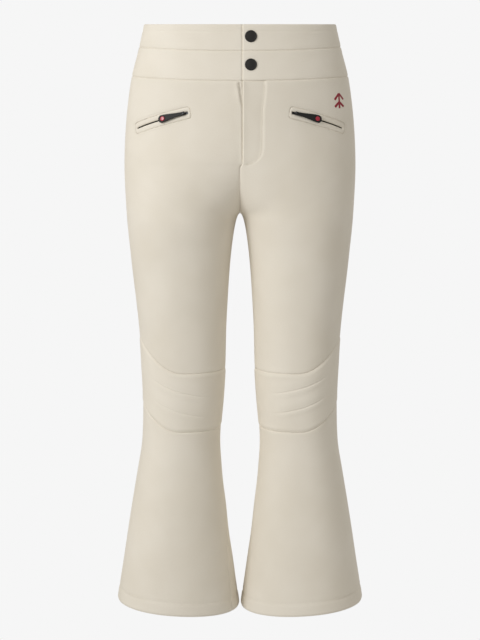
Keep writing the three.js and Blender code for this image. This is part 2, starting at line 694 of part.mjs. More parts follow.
const zipRuns = [-4, zipLength + 2.5];
for (const side of ["left", "right"]) {
  const group = sideGroup(side);
  add(`pocket_welt_${side}`, cut(common(pocketSheet([0, CLOTH]), weltBlock), slit), cream, group);
  const tape = curvedBlock(zipRuns, TAPE.half, [TAPE.thickness / 2, -TAPE.thickness / 2]);
  const gapForWedge = curvedBlock([-2.5, zipLength + 1], COIL.half + 0.3, [2, -2]);
  add(`pocket_zip_tape_${side}`, cut(tape, gapForWedge), black, group);
  const coilOuts = [COIL.thickness / 2, -COIL.thickness / 2];
  add(`pocket_zip_coil_${side}`, curvedBlock([2.8, zipLength + 0.6], COIL.half, coilOuts), black, group);
  add(`pocket_zip_slider_${side}`, sliderBody(pivotOut).applyMatrix4(sliderFrame), steel, group);
  add(`pocket_zip_puller_${side}`, pullerBody(), black, group);
  add(`pocket_puller_dot_${side}`, dotBody(DOT.radius, DOT.depth - 0.3, DOT.rise), red, group);
  add(`pocket_bag_${side}`, bagBody(), lining, group);
}

// ---------------------------------------------------------------- front and back panels

for (const side of ["left", "right"]) {
  const group = sideGroup(side);
  const front = sheet({
    from: side === "left" ? leftOfFly : rightOfFly,
    to: beforeSide,
    top: below(waistSeam),
    bottom: above(kneeTop),
    depths: [0, CLOTH],
    rows: 20,
  });
  add(`front_panel_${side}`, cut(front, pocketWindow), cream, group);
  const back = sheet({
    from: afterSide,
    to: beforeBack,
    top: below(waistSeam),
    bottom: above(kneeTop),
    depths: [0, CLOTH],
    rows: 20,
  });
  add(`back_panel_${side}`, back, cream, group);
}

// ---------------------------------------------------------------- knees

for (const side of ["left", "right"]) {
  const group = sideGroup(side);
  const knee = { top: below(kneeTop), bottom: above(kneeBottom), depths: [0, CLOTH], rows: 3 };
  add(`knee_panel_${side}`, sheet({ ...knee, from: narrow, to: beforeSide }), cream, group);
  add(`knee_gusset_${side}`, sheet({ ...knee, from: afterSide, to: beforeBack }), cream, group);
  const foamFrom = CLOTH + LAYER_GAP;
  const pad = {
    from: () => 1 / LINES,
    to: () => (LINES - 1) / LINES,
    top: (a) => kneeTop(a) - 5,
    bottom: (a) => kneeBottom(a) + 5,
    depths: [foamFrom, foamFrom + KNEE_FOAM],
    rows: 3,
  };
  add(`knee_foam_${side}`, sheet(pad), foam, group);
}

// ---------------------------------------------------------------- lower legs

// The right leg hangs a little turned, so its inseam comes round to the front towards the hem.
const turnAt = (side) => (z) =>
  side === "right" ? (INSEAM_TURN / 180) * ease((kneeZ - 70 - z) / (kneeZ - 70 - hemZ)) : 0;

for (const side of ["left", "right"]) {
  const group = sideGroup(side);
  const turn = turnAt(side);
  const edges = { top: below(kneeBottom), bottom: () => hemZ - HEM_SPARE, rows: 8, turn };
  const shin = { ...edges, from: narrow, to: beforeSide, depths: [0, CLOTH] };
  add(`shin_panel_${side}`, cut(sheet(shin), hemTrim), cream, group);
  const calf = { ...edges, from: afterSide, to: beforeBack, depths: [0, CLOTH] };
  add(`calf_panel_${side}`, cut(sheet(calf), hemTrim), cream, group);
  const turnUpFrom = CLOTH + STITCHED_GAP;
  const turnUp = sheet({
    from: narrow,
    to: beforeBack,
    top: () => hemZ + HEM_TURN_UP,
    bottom: () => hemZ - HEM_SPARE,
    depths: [turnUpFrom, turnUpFrom + LINING],
    rows: 1,
    turn,
  });
  add(`hem_turn_up_${side}`, cut(turnUp, hemTrim), cream, group);
}

// Snow gaiter: a sleeve sewn inside the leg that narrows to an elastic cuff for the boot's shaft.
for (const side of ["left", "right"]) {
  const turn = turnAt(side);
  const cuffCentre = section(-GAITER.bottom).centre;
  const columns = 2 * LINES;
  const gaiter = gridSolid(columns, 4, (s, t, layer) => {
    const ends = narrow(-GAITER.top);
    const line = Math.min(2 - ends, Math.max(ends, 2 * s));
    const z = -GAITER.top - t * (GAITER.bottom - GAITER.top);
    const around = line + turn(z) * Math.abs(1 - line);
    const loose = skin(around, z, CLOTH + STITCHED_GAP + layer * LINING);
    const angle = Math.PI * (around - 1);
    const halfWidth = GAITER.cuffHalfWidth - layer * LINING;
    const halfDepth = GAITER.cuffHalfDepth - layer * LINING;
    const cuff = new THREE.Vector3(
      cuffCentre + halfWidth * Math.cos(angle),
      halfDepth * Math.sin(angle),
      z,
    );
    return loose.lerp(cuff, ease(t));
  });
  add(`snow_gaiter_${side}`, gaiter, lining, sideGroup(side));
}

// ---------------------------------------------------------------- fly

// The facing backs the left front along the fly, with a curved foot.
const FLY_FOOT = 26; // height of the curved foot
const flyWidthAt = (drop) => {
  const foot = Math.max(0, (drop - (FLY_DROP - FLY_FOOT)) / FLY_FOOT);
  return Math.max(2, (TAB_WIDTH - 2) * Math.sqrt(Math.max(0, 1 - foot * foot)));
};
const facingFrom = CLOTH + STITCHED_GAP;
const flyFacing = gridSolid(3, 12, (s, t, layer) => {
  const drop = LOWER_BAND_DROP + 1 + t * (FLY_DROP - LOWER_BAND_DROP - 4);
  const x = FLY_EDGE + 1 + s * flyWidthAt(drop);
  return frontSkin(x, -drop, facingFrom + layer * LINING);
});
add("fly_facing", flyFacing, cream);

// The zip and its shield lie in one plane, a little behind the facing and leaning with the front.
const flyTop = LOWER_BAND_DROP + 3;
const flyBottom = FLY_ZIP.bottom + 4;
const flyTopPoint = frontSkin(FLY_ZIP.chainX, -flyTop, FLY_ZIP.depth);
const flyBottomPoint = frontSkin(0, -flyBottom, FLY_ZIP.depth);
const lean = Math.atan2(flyBottomPoint.y - flyTopPoint.y, flyBottom - flyTop);
const fly = new THREE.Group();
fly.position.set(FLY_ZIP.chainX, flyTopPoint.y, -flyTop);
fly.rotation.x = lean;
pants.add(fly);
// In the fly's own frame: x across, y back from the tapes' centre, "run" down from the zip's top.
const flat = (x0, x1, y0, y1, run0, run1) => boxBetween([x0, y0, -run1], [x1, y1, -run0]);
const FLY_RUN = { tape: flyBottom - flyTop, coilTop: 5, coilBottom: FLY_ZIP.bottom - flyTop, slider: 6 };
const inner = COIL.half + 0.3;
const halfTape = TAPE.thickness / 2;
const tapeEdges = [-halfTape, halfTape, 0, FLY_RUN.tape];
add("fly_zip_tape_left", flat(inner, inner + 10, ...tapeEdges), cream, fly);
add("fly_zip_tape_right", flat(-inner - 10, -inner, ...tapeEdges), cream, fly);
const halfCoil = COIL.thickness / 2;
const coilEdges = [-halfCoil, halfCoil, FLY_RUN.coilTop, FLY_RUN.coilBottom];
add("fly_zip_coil", flat(-COIL.half, COIL.half, ...coilEdges), cream, fly);
const flySlider = new THREE.Group();
flySlider.matrixAutoUpdate = false;
flySlider.matrix
  .makeBasis(new THREE.Vector3(0, 0, -1), new THREE.Vector3(1, 0, 0), new THREE.Vector3(0, -1, 0))
  .setPosition(0, 0, -FLY_RUN.slider);
fly.add(flySlider);
add("fly_zip_slider", sliderBody(FLY_ZIP.pivotHeight), steel, flySlider);
const FLY_PULL = { thickness: 1.4, length: 18, half: 2.6 };
const pullLow = [PIN.boss + 0.6, -FLY_PULL.half, FLY_ZIP.pivotHeight - FLY_PULL.thickness / 2];
const pullHigh = [FLY_PULL.length, FLY_PULL.half, FLY_ZIP.pivotHeight + FLY_PULL.thickness / 2];
const flyPull = joined(boxBetween(pullLow, pullHigh), ...ears(FLY_ZIP.pivotHeight, FLY_PULL.thickness));
add("fly_zip_pull", flyPull, steel, flySlider);
const shieldFrom = SLIDER.gap + SLIDER.plate + 0.8;
const shieldLeft = tabEnd - 2 - FLY_ZIP.chainX;
const shieldRight = -UNDERLAP_REACH + 1 - FLY_ZIP.chainX;
const shieldEdges = [shieldFrom, shieldFrom + CLOTH, -1.5, FLY_DROP - 1 - flyTop];
add("fly_shield", flat(shieldRight, shieldLeft, ...shieldEdges), cream, fly);

// ---------------------------------------------------------------- emblem

// Two stacked chevrons, embroidered on the left front beside the pocket.
function emblemBody() {
  const { width, height, stroke, thickness } = EMBLEM;
  const arm = height * 0.36;
  const chevron = (base) => {
    const shape = new THREE.Shape();
    shape.moveTo(-width / 2, base);
    shape.lineTo(0, base + arm);
    shape.lineTo(width / 2, base);
    shape.lineTo(width / 2, base + stroke);
    shape.lineTo(0, base + arm + stroke);
    shape.lineTo(-width / 2, base + stroke);
    return new THREE.ExtrudeGeometry(shape, { depth: thickness, bevelEnabled: false });
  };
  const stem = boxBetween([-stroke / 2, -height / 2, 0], [stroke / 2, height / 2 - 1, thickness]);
  const flatMark = joined(chevron(-height / 2 + 0.5), chevron(0), stem);
  const origin = frontSkin(EMBLEM.x, -EMBLEM.drop, -0.35);
  const out = outwardAt(origin);
  const across = new THREE.Vector3(0, 0, 1).cross(out).normalize();
  const up = out.clone().cross(across);
  return flatMark.applyMatrix4(new THREE.Matrix4().makeBasis(across, up, out).setPosition(origin));
}
add("emblem", emblemBody(), red);

export default pants;
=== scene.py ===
"""Looks of a child's flared ski pants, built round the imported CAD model.

Everything is in metres in the part's own frame: +Z up from the waist's top edge, -Y the wearer's
front, +X the wearer's left. Each section holds one piece, or one group of like pieces.
"""
import math

import bpy
import numpy as np
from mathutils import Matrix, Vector


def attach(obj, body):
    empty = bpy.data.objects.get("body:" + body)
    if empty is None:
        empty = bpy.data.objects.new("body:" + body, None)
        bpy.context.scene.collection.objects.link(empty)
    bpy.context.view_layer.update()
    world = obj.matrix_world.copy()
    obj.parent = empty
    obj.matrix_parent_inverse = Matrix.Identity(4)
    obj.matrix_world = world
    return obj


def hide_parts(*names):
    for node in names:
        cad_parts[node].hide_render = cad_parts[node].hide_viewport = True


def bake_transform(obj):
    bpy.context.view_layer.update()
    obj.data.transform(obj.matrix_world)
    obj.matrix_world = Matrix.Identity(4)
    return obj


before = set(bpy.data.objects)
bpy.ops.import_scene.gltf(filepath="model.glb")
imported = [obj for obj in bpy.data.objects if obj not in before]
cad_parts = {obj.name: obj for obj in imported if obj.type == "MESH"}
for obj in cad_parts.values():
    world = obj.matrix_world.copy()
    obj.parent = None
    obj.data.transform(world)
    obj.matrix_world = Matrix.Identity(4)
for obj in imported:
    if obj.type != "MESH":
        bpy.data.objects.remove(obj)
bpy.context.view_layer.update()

# ---------------------------------------------------------------- front and back panels
# Four panels of three-layer stretch softshell, 1.4 mm thick, from the waist seam down to the knee.
# They are sewn together down the centre front, the centre back, the sides and the inner legs, with
# the seams pressed open, so each seam lies in a shallow groove.

MM = 0.001
RISE = 243 * MM  # waist's top edge to crotch
INSEAM = 522 * MM  # crotch to hem
KNEE = RISE + 227 * MM  # waist's top edge to the knee's bending line
SHIN = RISE + INSEAM - KNEE
MERGE_HEIGHT = 140 * MM  # this far over the crotch the two legs have become one body
ROUNDNESS = 2.15  # exponent of the cross-sections: 2 is an ellipse
CLOTH = 1.4 * MM

# The shape as it hangs: drop from the waist, half width to the outer side, half the gap between the
# legs, depth to the front and depth to the back, the last four in millimetres.
STATIONS = np.array([
    (0, 123, 0, 66, 72),
    (33 * MM, 130.5, 0, 70, 78),
    (70 * MM, 140, 0, 75.5, 86),
    (0.53 * RISE, 147.5, 0, 79.5, 97),
    (0.77 * RISE, 149.8, 0, 80, 100),
    (RISE, 147.5, 0, 75, 89),
    (RISE + 0.25 * (KNEE - RISE), 142.5, 12, 68, 75),
    (RISE + 0.64 * (KNEE - RISE), 133, 17.8, 60, 60),
    (RISE + 0.91 * (KNEE - RISE), 129.2, 19.6, 57, 54),
    (KNEE + 0.06 * SHIN, 128, 22, 56, 51),
    (KNEE + 0.25 * SHIN, 129.5, 26.4, 54, 52),
    (KNEE + 0.39 * SHIN, 136, 24.2, 56.5, 57),
    (KNEE + 0.54 * SHIN, 143.4, 19.6, 61, 62),
    (KNEE + 0.72 * SHIN, 151.8, 13.4, 68, 69),
    (KNEE + SHIN, 164.5, 1.9, 78, 78),
])
CROTCH_ROW = 5


def smooth_curve(x, xs, ys):
    """Cubic pieces through (xs, ys), each knot's slope being that of the chord between its neighbours;
    straight on beyond the ends."""
    x = np.asarray(x, float)
    before, after = np.r_[0, 0:len(xs) - 1], np.r_[1:len(xs), len(xs) - 1]
    slope = (ys[after] - ys[before]) / (xs[after] - xs[before])
    i = np.clip(np.searchsorted(xs, x, side="right") - 1, 0, len(xs) - 2)
    width = xs[i + 1] - xs[i]
    t = (x - xs[i]) / width
    u = np.clip(t, 0, 1)
    y = (1 + 2 * u) * (1 - u) ** 2 * ys[i] + u * u * (3 - 2 * u) * ys[i + 1]
    y += width * u * (1 - u) * ((1 - u) * slope[i] - u * slope[i + 1])
    return y + width * (t - u) * np.where(t < 0, slope[i], slope[i + 1])


def ease(t):
    """0 below 0, 1 above 1, and 3t^2 - 2t^3 between."""
    t = np.clip(t, 0, 1)
    return t * t * (3 - 2 * t)


def section(z):
    """Centre, half width, front depth and back depth of the left leg's oval at height z. Above the
    crotch the two ovals share the middle, by 1 - sin, until they are one."""
    drop = -np.asarray(z, float)
    outer, front, back = (smooth_curve(drop, STATIONS[:, 0], STATIONS[:, k] * MM) for k in (1, 3, 4))
    legs = STATIONS[CROTCH_ROW:]
    below = np.maximum(drop - RISE, 0)
    gap = smooth_curve(np.sqrt(below), np.sqrt(legs[:, 0] - RISE), legs[:, 2] * MM)
    apart = 1 - np.sin(np.pi / 2 * np.clip((RISE - drop) / MERGE_HEIGHT, 0, 1))
    above_half = outer / (1 + apart)
    leg = drop >= RISE
    centre = np.where(leg, (outer + gap) / 2, apart * above_half)
    half = np.where(leg, (outer - gap) / 2, above_half)
    return centre, half, front, back


def surface(around, z):
    """Point of the left half. around is 0 at the centre front or inseam, 1 at the side and 2 at the
    centre back or inseam; below 0 it goes on to the right half, or on round the leg."""
    around, z = np.broadcast_arrays(np.asarray(around, float), np.asarray(z, float))
    centre, half, front, back = section(z)
    over = z > -RISE
    swapped = over & (around < 0)
    a = np.where(swapped, -around, around)
    to_seam = np.where(over, np.arccos(-np.clip(centre / half, 0, 1) ** (ROUNDNESS / 2)), np.pi)
    angle = to_seam * (a - 1)
    cosine, sine = np.cos(angle), np.sin(angle)
    power = 2 / ROUNDNESS
    x = centre + half * np.sign(cosine) * np.abs(cosine) ** power
    y = np.where(sine < 0, front, back) * np.sign(sine) * np.abs(sine) ** power
    return np.stack([np.where(swapped, -x, x), y, z], -1)


def level(p):
    """Below 0 inside the surface, above 0 outside, for points of either half."""
    centre, half, front, back = section(p[..., 2])
    depth = np.where(p[..., 1] < 0, front, back)
    across = np.abs(np.abs(p[..., 0]) - centre) / half
    return across ** ROUNDNESS + (np.abs(p[..., 1]) / depth) ** ROUNDNESS - 1


def outward(p):
    """Unit normal: the level's slope, from points 0.8 mm to each side."""
    e = 0.8 * MM
    slope = np.stack([level(p + e * axis) - level(p - e * axis) for axis in np.eye(3)], -1)
    slope[..., 0] *= np.where((np.abs(p[..., 0]) < 1.5 * MM) & (p[..., 2] > -RISE), 0, 1)
    return slope / np.linalg.norm(slope, axis=-1, keepdims=True)


def around_of_x(x, z):
    """The front's 'around' at a distance x from the centre plane, by halving the range 40 times."""
    x, z = np.broadcast_arrays(np.asarray(x, float), np.asarray(z, float))
    low, high = np.full(x.shape, -1.0), np.full(x.shape, 1.0)
    for _ in range(40):
        middle = (low + high) / 2
        left = surface(middle, z)[..., 0] < x
        low, high = np.where(left, middle, low), np.where(left, high, middle)
    return low


def edge_lines(length, step, first=0.35 * MM):
    """Shares 0 to 1 along a length: even steps, with finer ones towards both ends, where seams roll in."""
    near = first * np.array([0, 1, 2, 3, 4.2, 5.6, 7.2, 9, 11, 13.2, 15.6, 18.4, 22]) / length
    middle = np.linspace(near[-1], 1 - near[-1], max(2, int(length / step)))
    return np.r_[near[:-1], middle, 1 - near[:-1][::-1]]


def grid_positions(u_from, u_to, z_top, z_bottom, wide, tall, step):
    """(around, z) over a panel whose side limits depend on z and whose ends depend on around."""
    s = edge_lines(wide, step)[:, None]
    t = edge_lines(tall, step)[None, :]
    around = np.ones((s.shape[0], t.shape[1]))
    for _ in range(5):
        z = z_top(around) + t * (z_bottom(around) - z_top(around))
        around = u_from(z) + s * (u_to(z) - u_from(z))
    return around, z, s + 0 * t


def ground_lengths(p):
    """Lengths along the cloth: from the first column along each row, and from the first row down."""
    along = np.linalg.norm(np.diff(p, axis=0), axis=-1)
    down = np.linalg.norm(np.diff(p, axis=1), axis=-1)
    return np.cumsum(np.pad(along, ((1, 0), (0, 0))), 0), np.cumsum(np.pad(down, ((0, 0), (1, 0))), 1)


def unevenness(p):
    """Slow hills of a soft cloth: three crossing sine waves, 60 to 150 mm long, under half a
    millimetre high."""
    x, y, z = (p[..., k] / MM for k in range(3))
    a = np.sin(x / 21 + z / 34 + 0.6) * np.sin(z / 27 - y / 19)
    b = np.sin(z / 11 + x / 37 + y / 23 + 1.9)
    return (0.34 * a + 0.14 * b) * MM


# Soft folds: ends (x, z) in mm on the front (-1) or back (1), half width and height in mm.
FOLDS = [
    ((10, -246), (58, -206), -1, 11, -0.5), ((12, -262), (70, -232), -1, 12, 0.35),
    ((8, -284), (46, -318), -1, 11, -0.5), ((60, -150), (118, -168), -1, 16, 0.4),
    ((18, -262), (112, -246), 1, 11, -1.5), ((22, -280), (96, -268), 1, 10, 1.0),
    ((8, -226), (70, -176), 1, 12, -0.9), ((36, -396), (96, -402), 1, 8, -0.8),
]


def fold_relief(p, side):
    """Each fold is a bell curve across its line, fading out past both ends. The right leg's folds
    lie a few millimetres lower than the left's."""
    relief = np.zeros(p.shape[:-1])
    lower = 0 if side == "left" else 7
    for start, end, face, width, height in FOLDS:
        a = np.array([start[0], start[1] - lower]) * MM
        b = np.array([end[0], end[1] - 1.6 * lower]) * MM
        d = p[..., [0, 2]] - a
        length = np.linalg.norm(b - a)
        way = (b - a) / length
        along = d @ way / length
        off = d[..., 0] * way[1] - d[..., 1] * way[0]
        fade = ease((along + 0.25) / 0.4) * ease((1.25 - along) / 0.4)
        bell = np.exp(-(off / (width * MM)) ** 2)
        relief += height * MM * bell * fade * ease(np.sign(face) * p[..., 1] / (30 * MM))
    return relief


SEAM_DEPTH = 0.85 * MM
SEAM_WIDTH = 0.9 * MM


def seam_relief(distance, depth=SEAM_DEPTH):
    """Cloth next to a seam: a bell-shaped dip at the edge, and a low swelling 5 mm off."""
    dip = depth * np.exp(-(distance / SEAM_WIDTH) ** 2)
    return 0.14 * MM * np.exp(-((distance - 5 * MM) / (3 * MM)) ** 2) - dip


def closed_sheet(name, outer, inner, uv, mirror=False):
    """Mesh object of a sheet with thickness: two layers of a grid, and a rim round their edge. With
    mirror, x changes sign."""
    outer, inner = outer.copy(), inner.copy()
    if mirror:
        outer[..., 0] *= -1
        inner[..., 0] *= -1
    rows, cols = outer.shape[:2]
    count = rows * cols
    ids = np.arange(count).reshape(rows, cols)
    quads = np.stack([ids[:-1, :-1], ids[1:, :-1], ids[1:, 1:], ids[:-1, 1:]], -1).reshape(-1, 4)
    loop = np.r_[ids[:-1, 0], ids[-1, :-1], ids[:0:-1, -1], ids[0, :0:-1]]
    after = np.roll(loop, -1)
    rim = np.stack([after, loop, loop + count, after + count], -1)
    faces = np.r_[quads, quads[:, ::-1] + count, rim]
    points = np.r_[outer.reshape(-1, 3), inner.reshape(-1, 3)]
    a, b, c = points[quads[:, 0]], points[quads[:, 1]], points[quads[:, 2]]
    middle = (rows // 2 * (cols - 1)) + cols // 2
    toward = outer.reshape(-1, 3)[quads[middle, 0]] - inner.reshape(-1, 3)[quads[middle, 0]]
    if np.dot(np.cross(b - a, c - a)[middle], toward) < 0:
        faces = faces[:, ::-1]
    mesh = mesh_of(name, points, faces)
    both = np.r_[uv.reshape(-1, 2), uv.reshape(-1, 2)]
    layer = mesh.uv_layers.new(name="cloth")
    layer.data.foreach_set("uv", both[faces.ravel()].astype(np.float32).ravel())
    piece = link(name, mesh)
    return piece


def mesh_of(name, points, faces):
    """Mesh with smooth faces from an array of points and an array of faces of equal size."""
    mesh = bpy.data.meshes.new(name)
    size = faces.shape[1]
    mesh.vertices.add(len(points))
    mesh.vertices.foreach_set("co", np.asarray(points, np.float32).ravel())
    mesh.loops.add(faces.size)
    mesh.loops.foreach_set("vertex_index", faces.astype(np.int32).ravel())
    mesh.polygons.add(len(faces))
    mesh.polygons.foreach_set("loop_start", np.arange(0, faces.size, size, dtype=np.int32))
    mesh.polygons.foreach_set("use_smooth", np.ones(len(faces), bool))
    mesh.update(calc_edges=True)
    mesh.validate()
    return mesh


def link(name, mesh):
    """New object of that mesh, in the scene. Where a CAD node has that name, the piece's own ends in
    _finished."""
    piece = bpy.data.objects.new(name + ("_finished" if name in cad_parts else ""), mesh)
    bpy.context.scene.collection.objects.link(piece)
    return piece


def hex_colour(code):
    """Linear RGBA of an sRGB hex colour."""
    channels = [int(code[k:k + 2], 16) / 255 for k in (1, 3, 5)]
    return [c / 12.92 if c <= 0.04045 else ((c + 0.055) / 1.055) ** 2.4 for c in channels] + [1.0]


def add_node(material, kind, links=(), **settings):
    """Adds a node. Settings named after an input set its value, the others set the node's property;
    each link is (input, node, output)."""
    node = material.node_tree.nodes.new(kind)
    for key, value in settings.items():
        name = key.replace("_", " ").title().replace("Ior", "IOR")
        if hasattr(node, key):
            setattr(node, key, value)
        else:
            node.inputs[name].default_value = value
    for target, source, output in links:
        material.node_tree.links.new(source.outputs[output], node.inputs[target])
    return node


def new_material(name, **surface_settings):
    """Material with a Principled surface, and those two nodes' names."""
    material = bpy.data.materials.new(name)
    material.use_nodes = True
    bsdf = material.node_tree.nodes["Principled BSDF"]
    for key, value in surface_settings.items():
        bsdf.inputs[key.replace("_", " ")].default_value = value
    return material, bsdf


def woven_cloth(name, light, dark, thread, roughness, sheen, relief=0.12 * MM, fuzz=0.5):
    """Cloth whose weave follows its UV map: twill lines one thread apart, crossed by fibre noise, with
    broad, faint changes of colour."""
    material, bsdf = new_material(name, Roughness=roughness, Sheen_Weight=sheen, Sheen_Roughness=0.45)
    bsdf.inputs["Specular IOR Level"].default_value = 0.25
    bsdf.inputs["Sheen Tint"].default_value = hex_colour(light)
    uv = add_node(material, "ShaderNodeUVMap", uv_map="cloth")
    at = ("Vector", uv, "UV")
    lines_at_scale_1 = 2 * math.pi / (10 * math.sqrt(2))  # a diagonal Wave texture's own spacing
    twill = add_node(material, "ShaderNodeTexWave", [at], bands_direction="DIAGONAL",
                     Scale=lines_at_scale_1 / thread, Distortion=0.6, Detail=1.0)
    fibres = add_node(material, "ShaderNodeTexNoise", [at], Scale=0.8 / thread, Detail=3.0, Roughness=0.65)
    clouds = add_node(material, "ShaderNodeTexNoise", [at], Scale=1 / (70 * MM), Detail=2.0)
    shade = add_node(material, "ShaderNodeMath", [(0, clouds, "Fac"), (1, fibres, "Fac")],
                     operation="MULTIPLY")
    ramp = add_node(material, "ShaderNodeValToRGB", [("Fac", shade, "Value")])
    ramp.color_ramp.elements[0].position = 0.12
    ramp.color_ramp.elements[1].position = 0.36
    ramp.color_ramp.elements[0].color = hex_colour(dark)
    ramp.color_ramp.elements[1].color = hex_colour(light)
    height = add_node(material, "ShaderNodeMath", [(0, fibres, "Fac"), (2, twill, "Fac")],
                      operation="MULTIPLY_ADD")
    height.inputs[1].default_value = fuzz
    bump = add_node(material, "ShaderNodeBump", [("Height", height, "Value")], Strength=1.0, Distance=relief)
    tree = material.node_tree
    tree.links.new(ramp.outputs["Color"], bsdf.inputs["Base Color"])
    tree.links.new(bump.outputs["Normal"], bsdf.inputs["Normal"])
    return material


# Softshell's face is a fine matt twill. Its real lines are 0.4 mm apart; they are drawn at 0.8 mm.
softshell = woven_cloth("cream_softshell_twill", "#EFE9DD", "#E8E1D3", 0.8 * MM, 0.86, 0.18)


def dress(piece, material):
    """Gives a piece its material."""
    piece.data.materials.append(material)
    return piece


SIDES = ("left", "right")
BAND_RISE_AT_SIDE = 4 * MM
UPPER_SEAM = -33 * MM
WAIST_SEAM = -70 * MM
HALF_SEAM = 0.08 * MM
FLY_EDGE = 3.2 * MM
FLY_FOOT = -176 * MM
UNDER_FLY = 3.5 * MM  # how far the right front goes on behind the left


def band_seam(height):
    """A waistband's lower edge: level in front and behind, 4 mm higher at the sides."""
    return lambda around: height + BAND_RISE_AT_SIDE * ease(np.where(around < 1, around, 2 - around))


def knee_seam(below, side_rise, back_rise):
    """A knee seam: level over the front of the knee, up to the side seam, then on round the back to
    the inseam."""
    def height(around):
        rise = side_rise * ease(2 * around - 1)
        rise = rise + (back_rise - side_rise) * ease(2 * (around - 1))
        return -RISE - below * MM + (rise - back_rise * ease(2 * (around - 1.5))) * MM
    return height


waist_seam = band_seam(WAIST_SEAM)
knee_top = knee_seam(204, 42, 42)
knee_bottom = knee_seam(282, 32, -10)


def fly_line(z):
    """x of the closure's edge: 3.2 mm left of the centre plane, and on the plane below the fly."""
    return FLY_EDGE * ease((z - FLY_FOOT + 4 * MM) / (8 * MM))


def share_of(length, z):
    """That length across the cloth, as a share of the quarter from the centre front to the side."""
    return length / (np.pi / 2 * section(z)[2])


def seam_distances(p, open_edges=()):
    """Distance to the nearest sewn edge of a panel's grid. Edges named in open_edges don't count."""
    along, down = ground_lengths(p)
    parts = {"from": along, "to": along[-1:] - along, "top": down, "bottom": down[:, -1:] - down}
    return np.min([d for key, d in parts.items() if key not in open_edges], 0)


def soften_crotch(p, around):
    """Runs the legs into the body more softly: rows near the crotch are averaged with their
    neighbours 40 times, except next to the seams."""
    near = ease(1.6 - np.abs(p[..., 2] + RISE) / (22 * MM)) * ease(np.minimum(around, 2 - around) / 0.3)
    weight = (0.5 * near)[:, 1:-1, None]
    for _ in range(40):
        p[:, 1:-1] += weight * ((p[:, :-2] + p[:, 2:]) / 2 - p[:, 1:-1])
    return p


def sewn_panel(name, side, limits, ends, wide, tall, step, extra=None, open_edges=(), layer=0, thick=CLOTH):
    """A panel of the shell: the surface inside the limits, with folds, seam grooves and any extra
    relief, and its inner face one cloth's thickness further in."""
    around, z, share = grid_positions(*limits, *ends, wide, tall, step)
    p = surface(around, z)
    normal = outward(p)
    p = soften_crotch(p, around)
    distance = seam_distances(p, open_edges)
    relief = unevenness(p) * ease(distance / (12 * MM)) + seam_relief(distance)
    relief += fold_relief(p, side) * ease(distance / (10 * MM))
    if extra is not None:
        relief += extra(around, z, p, distance)
    outer = p + normal * (relief - layer)[..., None]
    inner = p + normal * (relief - layer - thick)[..., None]
    along, down = ground_lengths(p)
    uv = np.stack([along - along[len(along) // 2], -down], -1)
    return closed_sheet(name, outer, inner, uv, mirror=side == "right")


def bend_at_knee(piece):
    """Bakes the piece's placement into its mesh; it is not attached to the hips or the lower leg."""
    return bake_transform(piece)


TOPSTITCH_FROM_EDGE = 27 * MM  # the fly's curved line of stitching, from the closure's edge
FLY_CURVE = 27 * MM  # height of the line's curved foot


def j_line(z):
    """x of the fly's curved stitching at height z: 3 mm nearer the edge below the pockets' height,
    then a quarter oval to the edge."""
    foot = np.clip((FLY_FOOT + FLY_CURVE - z) / FLY_CURVE, 0, 1)
    straight = TOPSTITCH_FROM_EDGE - 3 * MM * ease((-80 * MM - z) / (32 * MM))
    return FLY_EDGE + straight * (1 - foot ** 2.4) ** (1 / 2.0)


def left_front_relief(around, z, p, distance):
    """The folded edge stands a little proud. From there the cloth slopes in to the curved stitching,
    and past that it comes out again over a few millimetres."""
    over = ease((z - FLY_FOOT) / (6 * MM))
    from_edge = np.abs(p[..., 0] - fly_line(z))
    proud = 0.9 * MM * np.exp(-(from_edge / (3.5 * MM)) ** 2)
    lift = over * (proud - 0.3 * MM * np.exp(-(from_edge / (0.5 * MM)) ** 2))
    inside = (z > FLY_FOOT) & (z < WAIST_SEAM + 6 * MM)
    from_line = p[..., 0] - j_line(z)
    groove = -0.5 * MM * np.exp(-(from_line / (0.9 * MM)) ** 2)
    ridge = 0.2 * MM * np.exp(-((from_line - 3 * MM) / (2.6 * MM)) ** 2)
    across = np.clip(from_edge / np.maximum(j_line(z) - FLY_EDGE, MM), 0, 1)
    slope = -1.3 * MM * across ** 1.5 * (1 - ease((from_line + 0.4 * MM) / (4.5 * MM)))
    return lift + np.where(inside, groove + ridge + slope, 0)


def right_front_relief(around, z, p, distance):
    """Next to the closure the right front sinks under the left one. Below the waist seam it also has
    a short, deep crease that leans into the closure."""
    x = -p[..., 0]
    over = ease((z - FLY_FOOT) / (10 * MM))
    sink = over * ease((x - fly_line(z) + 2 * MM) / (2.5 * MM)) * 1.5 * MM
    down = (WAIST_SEAM - z) / (32 * MM)
    line = (-1.6 + 4.4 * down) * MM
    length = ease((down - 0.02) / 0.12) * ease((1.1 - down) / 0.5)
    crease = 3.2 * MM * length * np.exp(-((x - line) / (0.8 * MM)) ** 2)
    swell = 0.8 * MM * length * np.exp(-((x - line + 3.5 * MM) / (2.2 * MM)) ** 2)
    return swell - sink - crease


